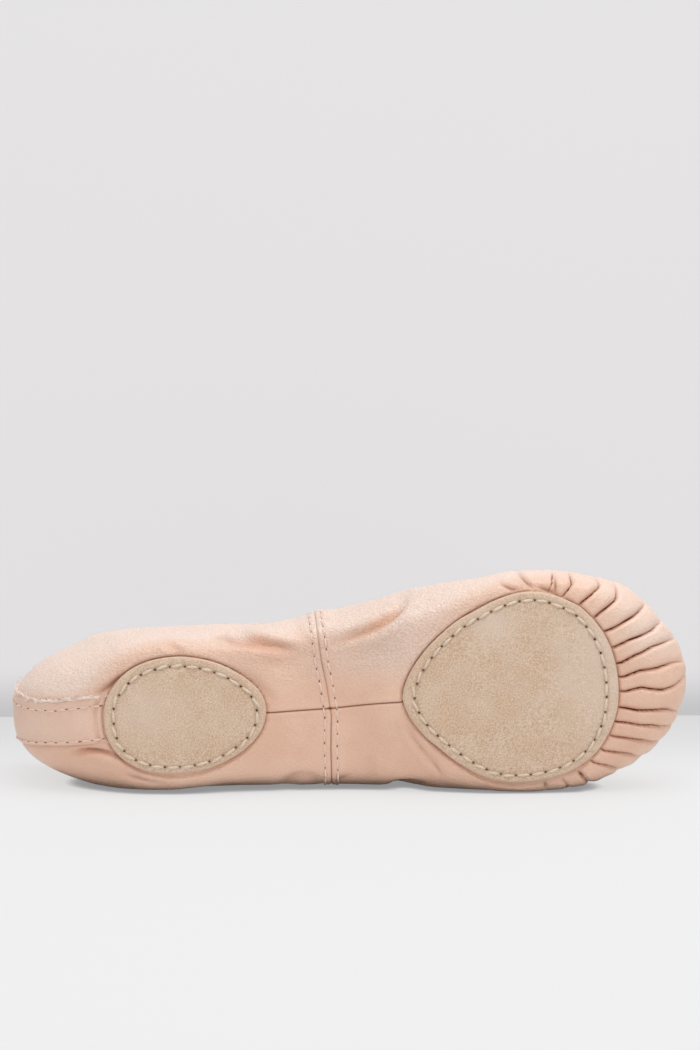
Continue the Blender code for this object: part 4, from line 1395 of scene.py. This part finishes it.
for name in PATCHES:
    dress(make_patch(name), "beige_suede", name)

# %% [markdown]
# ## Heel strip
# A strip of leather covers the back seam of the heel. It could be a bent plank, but it is cut from the skin
# itself, so that it wraps the heel without a gap. Its upper edge is left raw.

# %% Heel strip
STRIP_THICKNESS = 0.8
STRIP_LIFT = -0.45
# where the raw upper edge and the lower edge run across the shoe, at runs past the tread edge, mm
STRIP_RUN = (-0.3, 5.0, 11.0, 16.0, 22.0, 30.0, 38.0, 60.0)
STRIP_UPPER = (7.4, 7.0, 6.5, 6.2, 6.7, 7.5, 8.0, 7.6)
STRIP_LOWER = (-5.6, -6.0, -6.1, -6.2, -6.5, -6.7, -6.9, -7.0)
STRIP_ROWS = 150
STRIP_COLUMNS = 26
STRIP_SECTIONS = 97
HEEL_BACK_U = 0.06
STRIP_HEM_GAP = 1.4
STRIP_TUCK = 1.3
STRIP_EDGE_SINK = 0.3
RAGGED = 0.3
RAGGED_SIZE = 2.2
# folds across the strip beside the patch: run past the tread edge, width and height, mm
STRIP_FOLDS = ((0.7, 0.4, -0.6), (-0.4, 0.5, 0.45), (3.0, 1.2, 0.15))


def strip_sheet():
    """Outer face of the strip as points[row from patch to hem, column], with its normals."""
    grid = skin(np.linspace(-HEEL_BACK_U, HEEL_BACK_U, STRIP_SECTIONS), *ALL_ROWS)
    points = grid["points"] + normals_of(grid["points"], closed=False) * (STRIP_LIFT + STRIP_THICKNESS)
    reach = grid["past_edge"][:, -1:] - HEM_WIDTH - STRIP_HEM_GAP + STRIP_TUCK
    past = np.linspace(0.0, 1.0, STRIP_ROWS) * reach - STRIP_TUCK
    runs = np.array([read_at(*section) for section in zip(past, grid["past_edge"], points)])
    middle = STRIP_SECTIONS // 2
    past = past[middle]
    upper = np.interp(past, STRIP_RUN, STRIP_UPPER) + RAGGED * soft_noise(runs[middle], RAGGED_SIZE, 31)
    lower = np.interp(past, STRIP_RUN, STRIP_LOWER)
    sheet = np.array([read_at(np.linspace(low, high, STRIP_COLUMNS), row[:, 1], row)
                      for low, high, row in zip(lower, upper, runs.transpose(1, 0, 2))])
    normals = normals_of(sheet.transpose(1, 0, 2), closed=False).transpose(1, 0, 2)
    fold = sum(height * bell((past - at) / width) for at, width, height in STRIP_FOLDS)
    return sheet + normals * fold[:, None, None], normals


def slab_loop(outer, normals, thickness):
    """Closes a sheet into a slab whose first and last rows taper shut."""
    edge = np.minimum(np.arange(outer.shape[1]), np.arange(outer.shape[1])[::-1])
    sunk = STRIP_EDGE_SINK * thickness * np.clip(1.0 - edge / 2.0, 0.0, 1.0)
    outer = outer - normals * sunk[None, :, None]
    inner = outer - normals * (thickness - sunk)[None, :, None]
    loop = np.concatenate([outer, inner[:, ::-1]], axis=1)
    between = (outer + inner) / 2
    shut = np.concatenate([between, between[:, ::-1]], axis=1)
    return np.concatenate([shut[:1], loop, shut[-1:]], axis=0)


STRIP, STRIP_NORMALS = strip_sheet()
strip_loop = slab_loop(STRIP, STRIP_NORMALS, STRIP_THICKNESS)
heel_strip = grid_piece("heel_strip_leather", strip_loop, STRIP_LEATHER, close_columns=False,
                        fold_depth=np.zeros(strip_loop.shape[:2]))
dress(heel_strip, "strip_leather", "heel_strip")

# %% [markdown]
# ## Stitches
# Stitches repeat along a path, which is what Geometry Nodes do best. One tree walks along a path, sets a
# small part on the surface at every pitch, turns it along the path and changes it a little each time. The
# same tree sews the threads, sets a dark dish of painted shade in each needle hole and frays the raw edge.

# %% Tree that repeats a part along a path
REPEAT_INPUTS = {
    "Path": "Geometry", "Part": "Object", "Pitch": "Float", "Turn": "Vector",
    "Least Size": "Float", "Most Size": "Float", "Seed": "Int", "Finish": "Material",
}


def make_repeat_tree():
    tree = bpy.data.node_groups.new("repeat_along_path", "GeometryNodeTree")
    for label, kind in REPEAT_INPUTS.items():
        tree.interface.new_socket(label, in_out="INPUT", socket_type="NodeSocket" + kind)
    tree.interface.new_socket("Pieces", in_out="OUTPUT", socket_type="NodeSocketGeometry")
    nodes = Nodes(tree)
    ends = nodes.add("NodeGroupInput").outputs
    curve = nodes.add("GeometryNodeMeshToCurve", {"Mesh": ends["Path"]}).outputs[0]
    steps = nodes.add("GeometryNodeResampleCurve", {"Curve": curve, "Length": ends["Pitch"]}, mode="LENGTH")
    facing = nodes.add("GeometryNodeInputNamedAttribute", {"Name": "facing"}, data_type="FLOAT_VECTOR")
    along = nodes.add("GeometryNodeInputTangent")
    axes = {"Primary Axis": facing.outputs[0], "Secondary Axis": along.outputs[0]}
    lie = nodes.add("FunctionNodeAxesToRotation", axes, primary_axis="Z", secondary_axis="X")
    back = nodes.add("ShaderNodeVectorMath", {0: ends["Turn"], 1: (-1.0, -1.0, -1.0)}, operation="MULTIPLY")
    limits = {0: back.outputs[0], 1: ends["Turn"], "Seed": ends["Seed"]}
    stray = nodes.add("FunctionNodeRandomValue", limits, data_type="FLOAT_VECTOR")
    stray_turn = nodes.add("FunctionNodeEulerToRotation", {"Euler": stray.outputs[0]})
    turns = {"Rotation": lie.outputs[0], "Rotate By": stray_turn.outputs[0]}
    turned = nodes.add("FunctionNodeRotateRotation", turns, rotation_space="LOCAL")
    limits = {2: ends["Least Size"], 3: ends["Most Size"], "Seed": ends["Seed"]}
    size = nodes.add("FunctionNodeRandomValue", limits, data_type="FLOAT")
    part = nodes.add("GeometryNodeObjectInfo", {"Object": ends["Part"], "As Instance": True})
    set_out = nodes.add("GeometryNodeInstanceOnPoints", {
        "Points": steps.outputs[0], "Instance": part.outputs["Geometry"],
        "Rotation": turned.outputs[0], "Scale": size.outputs[1],
    })
    real = nodes.add("GeometryNodeRealizeInstances", {"Geometry": set_out.outputs[0]})
    done = nodes.add("GeometryNodeSetMaterial", {"Geometry": real.outputs[0], "Material": ends["Finish"]})
    nodes.add("NodeGroupOutput", {0: done.outputs[0]})
    return tree


REPEAT_TREE = make_repeat_tree()
print("repeat tree inputs:", list(REPEAT_INPUTS))


# %% Laying the tree on a path
def path_object(paths):
    """One wire mesh of several paths, each (points, normals, closed), with the way each point faces."""
    places, edges, facing = [], [], []
    for points, normals, closed in paths:
        first = len(places)
        places.extend(lay_down(points).tolist())
        facing.extend(turn_down(normals).ravel().tolist())
        edges.extend((first + i, first + i + 1) for i in range(len(points) - 1))
        if closed:
            edges.append((first + len(points) - 1, first))
    mesh = bpy.data.meshes.new("path")
    mesh.from_pydata(places, edges, [])
    mesh.attributes.new("facing", "FLOAT_VECTOR", "POINT").data.foreach_set("vector", facing)
    return add_object("path", mesh)


def repeat_along(name, paths, part_mesh, finish, pitch, turn=(0.0, 0.0, 0.0), sizes=(1.0, 1.0), seed=1):
    """Runs the tree over the paths and keeps its result as a plain mesh."""
    path = path_object(paths)
    part = bpy.data.objects.new("part", part_mesh)
    modifier = path.modifiers.new("repeat", "NODES")
    modifier.node_group = REPEAT_TREE
    values = {"Part": part, "Pitch": pitch * MM, "Turn": turn, "Least Size": sizes[0], "Most Size": sizes[1],
              "Seed": seed, "Finish": finish}
    for socket in REPEAT_TREE.interface.items_tree:
        if socket.name in values:
            modifier[socket.identifier] = values[socket.name]
    evaluated = path.evaluated_get(bpy.context.evaluated_depsgraph_get())
    mesh = bpy.data.meshes.new_from_object(evaluated)
    mesh.name = name
    mesh.shade_smooth()
    bpy.data.objects.remove(path)
    bpy.data.objects.remove(part)
    print(name, "has", len(mesh.polygons), "faces")
    return add_object(name, mesh)


# %% Thread, needle hole and fibre
THREAD_SIDES = 8
THREAD_RINGS = 9
THREAD_SHARE = 0.84
THREAD_END = 0.62
THREAD_TWIST = 0.75
THREAD_LOBES = 0.14
# width and height of a needle hole, as shares of its length
HOLE_SHAPE = (0.8, 0.16)
HOLE_SIDES = 10
HOLE_RINGS = 5


def tube_mesh(name, spine, radii, sides, twist=0.0, lobes=0.0):
    """A closed tube along points in the plane of x and z, whose section may twist like plied thread."""
    around = np.linspace(0.0, 2.0 * math.pi, sides, endpoint=False)
    rings = []
    for i, ((x, z), radius) in enumerate(zip(spine, radii)):
        swell = radius * (1.0 + lobes * np.cos(2.0 * (around - twist * i)))
        ring = [np.full(sides, x), swell * np.cos(around), z + swell * np.sin(around)]
        rings.append(np.column_stack(ring))
    count = len(rings) * sides
    faces = grid_faces(len(rings), sides, False, True).tolist()
    faces += [tuple(range(sides)), tuple(reversed(range(count - sides, count)))]
    mesh = bpy.data.meshes.new(name)
    mesh.from_pydata((np.array(rings) * MM).reshape(-1, 3), [], faces)
    build = bmesh.new()
    build.from_mesh(mesh)
    bmesh.ops.recalc_face_normals(build, faces=build.faces)
    build.to_mesh(mesh)
    build.free()
    return mesh


def thread_mesh(pitch, radius, bow):
    """One stitch that rises out of a needle hole and dives into the next, a pitch further on."""
    t = np.linspace(0.0, 1.0, THREAD_RINGS)
    x = (0.5 * (1.0 - THREAD_SHARE) + t * THREAD_SHARE) * pitch
    z = (bow + radius) * np.sin(math.pi * t) ** 0.7 - radius
    thickness = radius * (THREAD_END + (1.0 - THREAD_END) * np.sin(math.pi * t) ** 0.5)
    return tube_mesh("thread", zip(x, z), thickness, THREAD_SIDES, THREAD_TWIST, THREAD_LOBES)


def hole_mesh(width, length=1.0):
    """A small dish where the needle went through, which the thread may have drawn out; its dark finish is
    painted shade inside the hole.
    """
    around = math.pi / 2 + np.linspace(0.0, 2.0 * math.pi, HOLE_SIDES, endpoint=False)
    down = np.linspace(0.0, math.pi, HOLE_RINGS + 1)[1:-1, None]
    level = np.cos(down) * np.ones(HOLE_SIDES)
    rings = np.stack([np.sin(down) * np.cos(around), np.sin(down) * np.sin(around), level], axis=-1)
    points = np.vstack([rings.reshape(-1, 3), UP, -UP])
    faces = grid_faces(HOLE_RINGS - 1, HOLE_SIDES, False, True).tolist()
    top = len(points) - 2
    last = top - HOLE_SIDES
    for j in range(HOLE_SIDES):
        after = (j + 1) % HOLE_SIDES
        faces += [(top, j, after), (top + 1, last + after, last + j)]
    mesh = bpy.data.meshes.new("hole")
    mesh.from_pydata(points * width * MM * np.array([length, *HOLE_SHAPE]), [], faces)
    return mesh


def make_thread_finish(name, light, deep):
    material, nodes, shader = new_material(name, Roughness=0.75, Specular_IOR_Level=0.25, Sheen_Weight=0.3)
    fibre = nodes.noise(nodes.millimetres(), 0.3)
    colour = nodes.blend(nodes.spread(fibre, 0.3, 0.7), srgb(*deep), srgb(*light))
    nodes.feed(shader, Base_Color=colour, Normal=nodes.bump(fibre, 0.05))
    return material


# light and deep tone of each finish
THREAD_TONES = {
    "cream_thread": ((235, 218, 199), (214, 191, 167)),
    "pink_thread": ((243, 220, 207), (228, 198, 181)),
    "strip_thread": ((245, 217, 202), (228, 192, 173)),
    # the dark finishes of the needle holes are painted shade inside the holes
    "needle_hole_shade": ((112, 76, 56), (84, 54, 40)),
    "leather_needle_hole_shade": ((164, 112, 88), (132, 84, 64)),
    "raw_fibre": ((252, 240, 232), (232, 206, 190)),
}
THREAD = {name: make_thread_finish(name, *tones) for name, tones in THREAD_TONES.items()}
print("thread finishes:", ", ".join(THREAD))

# %% Sewing the patches
PATCH_THREAD = 0.44
PATCH_BOW = 0.3
PATCH_HOLE = 0.32
THREAD_LIFT = 0.12
HOLE_LIFT = -0.02


def patch_path(size, lift):
    """The stitch line of a patch on its tread face, lifted by so much, and the pitch that fits it."""
    count = len(stitch_line(size, STITCH_PITCH))
    line = stitch_line(size, STITCH_PITCH / 6.0)
    points = on_tread(line, CHANNEL_DEPTH - CLEARANCE - PATCH_THICKNESS - lift)
    length = run_along(np.vstack([points, points[:1]]))[-1]
    return [(points, np.tile(-UP, (len(points), 1)), True)], length / (count - 0.5)


for name, size in PATCHES.items():
    label = name.replace("_sole", "")
    path, pitch = patch_path(size, THREAD_LIFT)
    part = thread_mesh(STITCH_PITCH, PATCH_THREAD, PATCH_BOW)
    threads = repeat_along(label + "_stitches", path, part, THREAD["cream_thread"], pitch,
                           turn=(0.0, 0.03, 0.09), sizes=(0.92, 1.04), seed=5)
    path, pitch = patch_path(size, HOLE_LIFT)
    holes = repeat_along(label + "_needle_holes", path, hole_mesh(PATCH_HOLE), THREAD["needle_hole_shade"], pitch,
                         sizes=(0.8, 1.2), seed=6)
    dress(threads, "insole_cotton")
    dress(holes, "beige_suede")

# %% Sewing the upper
SEAM_THREAD = 0.27
SEAM_BOW = 0.16
SEAM_END = 1.0
HEM_STITCH_BELOW = 6.0
HEM_EVERY = 3
STRIP_ROWS_AT = (0.08, 0.80)
UPPER_THREAD_LIFT = 0.02
UPPER_HOLE_LIFT = 0.05


def section_at(field, u):
    """The rows of a field of the skin, on the section at u."""
    return read_at([u], SKIN["u"], field.reshape(len(field), -1)).reshape(-1, 3)


def seam_paths(lift):
    """Both rows of the cross seam, each from hem to hem under the sole."""
    rows = np.count_nonzero(SKIN["below_collar"][len(SKIN["u"]) // 4] > HEM_WIDTH + SEAM_END)
    paths = []
    for offset in (-SEAM_STITCH_OFFSET, SEAM_STITCH_OFFSET):
        u = float(station_to_u(CROSS_SEAM_ALONG + offset))
        points, normals = (
            np.vstack([section_at(field, u)[:rows][::-1], section_at(field, 1.0 - u)[1:rows]])
            for field in (LEATHER, SKIN["normals"]))
        paths.append((points + normals * lift, normals, False))
    return paths


def hem_paths(lift):
    """The row that closes the hem, all round the collar."""
    points, normals = (
        np.array([read_at([HEM_STITCH_BELOW], below[::-1], rows[::-1])[0]
                  for below, rows in zip(SKIN["below_collar"][::HEM_EVERY], field[::HEM_EVERY])])
        for field in (LEATHER, SKIN["normals"]))
    return [(points + normals * lift, normals, True)]


def strip_paths(lift):
    """A row along each edge of the heel strip."""
    paths = []
    for share in STRIP_ROWS_AT:
        part, low = math.modf(share * (STRIP_COLUMNS - 1))
        low = int(low)
        points = STRIP[2:-2, low] * (1.0 - part) + STRIP[2:-2, low + 1] * part
        normals = STRIP_NORMALS[2:-2, low]
        paths.append((points + normals * lift, normals, False))
    return paths


# paths, pitch, finish of the thread, and width and stretch of the holes
SEWN = {
    "seam": (seam_paths, 3.45, "pink_thread", (0.28, 1.3)),
    "hem": (hem_paths, 3.45, "pink_thread", (0.28, 1.3)),
    "strip": (strip_paths, 3.4, "strip_thread", (0.22, 2.6)),
}
for label, (paths, pitch, finish, hole) in SEWN.items():
    part = thread_mesh(pitch, SEAM_THREAD, SEAM_BOW)
    threads = repeat_along(label + "_stitches", paths(UPPER_THREAD_LIFT), part, THREAD[finish], pitch,
                           turn=(0.0, 0.02, 0.05), sizes=(0.94, 1.0), seed=7)
    holes = repeat_along(label + "_needle_holes", paths(UPPER_HOLE_LIFT), hole_mesh(*hole),
                         THREAD["leather_needle_hole_shade"], pitch, sizes=(0.8, 1.15), seed=8)
    dress(threads, "insole_cotton")
    dress(holes, "pink_leather")

# %% [markdown]
# ## Raw edge
# The upper edge of the heel strip is cut and not turned in, so its fibres stand out. Hair particles would
# not reach the exported model; the repeat tree sets out short bent fibres instead, over a pale, uneven lip.

# %% Cut lip
RAW_LIP = 0.4
LIP_SIDES = 8
LIP_STEPS = 480
LIP_END = 1.5
LIP_OUT = 0.05
LIP_SINK = 0.15
# unevenness of the lip's thickness and of its line: amount, size, seed
LIP_UNEVEN = (0.8, 0.8, 41)
LIP_WANDER = (0.4, 1.5, 42)


def make_raw_lip():
    """The cut edge itself: a pale, uneven lip along the strip."""
    rows = np.arange(STRIP_ROWS)
    at = np.linspace(0.0, STRIP_ROWS - 1.0, LIP_STEPS)
    edge, inside, normals = (read_at(at, rows, line)
                             for line in (STRIP[:, -1], STRIP[:, -2], STRIP_NORMALS[:, -1]))
    outward = unit(edge - inside)
    uneven, wander = (amount * soft_noise(edge, size, seed)
                      for amount, size, seed in (LIP_UNEVEN, LIP_WANDER))
    closed_ends = np.clip(np.minimum(at, at[::-1]) / LIP_END, 0.0, 1.0) ** 0.5
    radius = (RAW_LIP * (1.0 + uneven) * closed_ends)[:, None, None]
    middle = edge + outward * (LIP_OUT + wander)[:, None] - normals * LIP_SINK
    around = np.linspace(0.0, 2.0 * math.pi, LIP_SIDES, endpoint=False)[None, :, None]
    ring = outward[:, None] * np.cos(around) + normals[:, None] * np.sin(around)
    points = middle[:, None] + radius * ring
    return grid_piece("strip_raw_lip", points, THREAD["raw_fibre"], close_columns=False)


dress(make_raw_lip(), "strip_leather")

# %% Frayed fibres
FIBRE_LENGTH = 1.5
FIBRE_RADIUS = 0.11
FIBRE_BEND = 0.35
FIBRE_TAPER = 0.75
FIBRE_RISE = 0.4
FIBRE_PITCH = 0.11
FIBRE_DEPTHS = (0.15, 0.45)


def fibre_mesh():
    t = np.linspace(0.0, 1.0, 5)
    line = np.column_stack([t, FIBRE_BEND * t * t]) * FIBRE_LENGTH
    return tube_mesh("fibre", line, FIBRE_RADIUS * (1.0 - FIBRE_TAPER * t), 4)


def raw_edge_paths():
    """Two rows of fibres along the cut edge, which stand outwards and a little up."""
    edge, normals = STRIP[1:-1, -1], STRIP_NORMALS[1:-1, -1]
    facing = normals * FIBRE_RISE + unit(edge - STRIP[1:-1, -2])
    return [(edge - normals * depth, facing, False) for depth in FIBRE_DEPTHS]


raw_edge = repeat_along("strip_raw_edge", raw_edge_paths(), fibre_mesh(), THREAD["raw_fibre"], FIBRE_PITCH,
                        turn=(0.7, 0.7, 1.2), sizes=(0.5, 1.3), seed=9)
dress(raw_edge, "strip_leather")

# %% [markdown]
# ## Floor and light
# A pale floor and a pale wall of paper stand close behind the slipper. White paper would need strong lamps
# that flatten the leather, so the paper glows a little by itself, less where the shoe keeps light from it. A
# broad light hangs above, with weaker ones from the right and the front. The wall shows one side only, so a
# camera behind it still sees the shoe.

# %% Paper
PAPER = srgb(118, 118, 119)
PAPER_GLOW = 0.74
# how near the shoe the glow fades, in metres, how much sky is then left, and the shade there: first as the
# leather is lit by the floor, then as the camera sees it
FADE_REACH = (0.006, 0.003)
FADE_SKY = (0.5, 0.2)
FADE_SHADE = (srgb(0, 0, 0), srgb(164, 164, 166))
OPEN_SKY = 0.9
SKY_SAMPLES = 12


def shade_near_shoe(nodes, colour):
    """Darkens the paper's glow close to the shoe."""
    seen = nodes.add("ShaderNodeLightPath").outputs["Is Camera Ray"]
    reach, least = (nodes.spread(seen, 0.0, 1.0, *pair) for pair in (FADE_REACH, FADE_SKY))
    sky = nodes.add("ShaderNodeAmbientOcclusion", {"Distance": reach}, samples=SKY_SAMPLES).outputs["AO"]
    return nodes.blend(nodes.spread(sky, least, OPEN_SKY), nodes.blend(seen, *FADE_SHADE), colour)


def hide_back(nodes, shader):
    """Makes the paper clear from behind."""
    clear = nodes.add("ShaderNodeBsdfTransparent").outputs[0]
    back = nodes.add("ShaderNodeNewGeometry").outputs["Backfacing"]
    mix = nodes.add("ShaderNodeMixShader", {0: back, 1: shader.outputs[0], 2: clear})
    nodes.feed(nodes.tree.nodes["Material Output"], Surface=mix.outputs[0])


def make_paper(name, axis, low, high, near, far):
    """Glowing paper whose tone changes along one axis between two places in metres: painted shade, darker
    towards the corner where floor and wall meet.
    """
    material, nodes, shader = new_material(name, Roughness=0.9, Specular_IOR_Level=0.1, Base_Color=PAPER,
                                           Emission_Strength=PAPER_GLOW)
    along = nodes.add("ShaderNodeSeparateXYZ", {"Vector": nodes.place()}).outputs[axis]
    colour = nodes.blend(nodes.spread(along, low, high), near, far)
    if name == "floor_paper":
        colour = shade_near_shoe(nodes, colour)
    else:
        hide_back(nodes, shader)
    nodes.feed(shader, Emission_Color=colour)
    return material


WALL_BEHIND = 0.105
# painted shade: the floor darkens towards the wall and the wall towards its foot
FLOOR_PAPER = make_paper("floor_paper", "Y", -0.02, WALL_BEHIND, srgb(239, 239, 239), srgb(214, 214, 214))
WALL_PAPER = make_paper("wall_paper", "Z", 0.0, 0.016, srgb(197, 196, 197), srgb(234, 232, 233))
print("paper:", FLOOR_PAPER.name, WALL_PAPER.name)

# %% Stage and lights
FAR = 3.0
WORLD_STRENGTH = 0.3
# place, aim, width and height in metres, and power in watts
LIGHTS = {
    "dome_above": ((0.08, -0.1, 0.9), (0, 0, 0.02), (0.9, 0.7), 5.6),
    "side_right": ((0.6, -0.4, 0.6), (0.06, 0.0, 0.03), (0.6, 0.6), 1.2),
    "fill_front": ((-0.2, -0.9, 0.45), (0, 0, 0.02), (1.2, 0.8), 2.4),
}


def stage_sheet(name, corners, material):
    mesh = bpy.data.meshes.new(name)
    mesh.from_pydata(corners, [], [(0, 1, 2, 3)])
    mesh.materials.append(material)
    sheet = add_object(name, mesh)
    return sheet


stage_sheet("floor", [(-FAR, -FAR, 0), (FAR, -FAR, 0), (FAR, FAR, 0), (-FAR, FAR, 0)], FLOOR_PAPER)
wall_corners = [(x, WALL_BEHIND, z) for x, z in ((-FAR, 0), (FAR, 0), (FAR, FAR), (-FAR, FAR))]
wall = stage_sheet("wall", wall_corners, WALL_PAPER)
wall.visible_shadow = False
for name, (place, aim, size, power) in LIGHTS.items():
    light = bpy.data.lights.new(name, "AREA")
    light.shape = "RECTANGLE"
    light.size, light.size_y = size
    light.energy = power
    lamp = add_object(name, light)
    lamp.location = place
    lamp.rotation_euler = (Vector(aim) - Vector(place)).to_track_quat("-Z", "Y").to_euler()
world = bpy.data.worlds.new("studio")
world.use_nodes = True
background = world.node_tree.nodes["Background"]
background.inputs["Color"].default_value = (1.0, 1.0, 1.0, 1.0)
background.inputs["Strength"].default_value = WORLD_STRENGTH
bpy.context.scene.world = world
bpy.context.scene.view_settings.view_transform = "Standard"
print("lights:", ", ".join(LIGHTS))
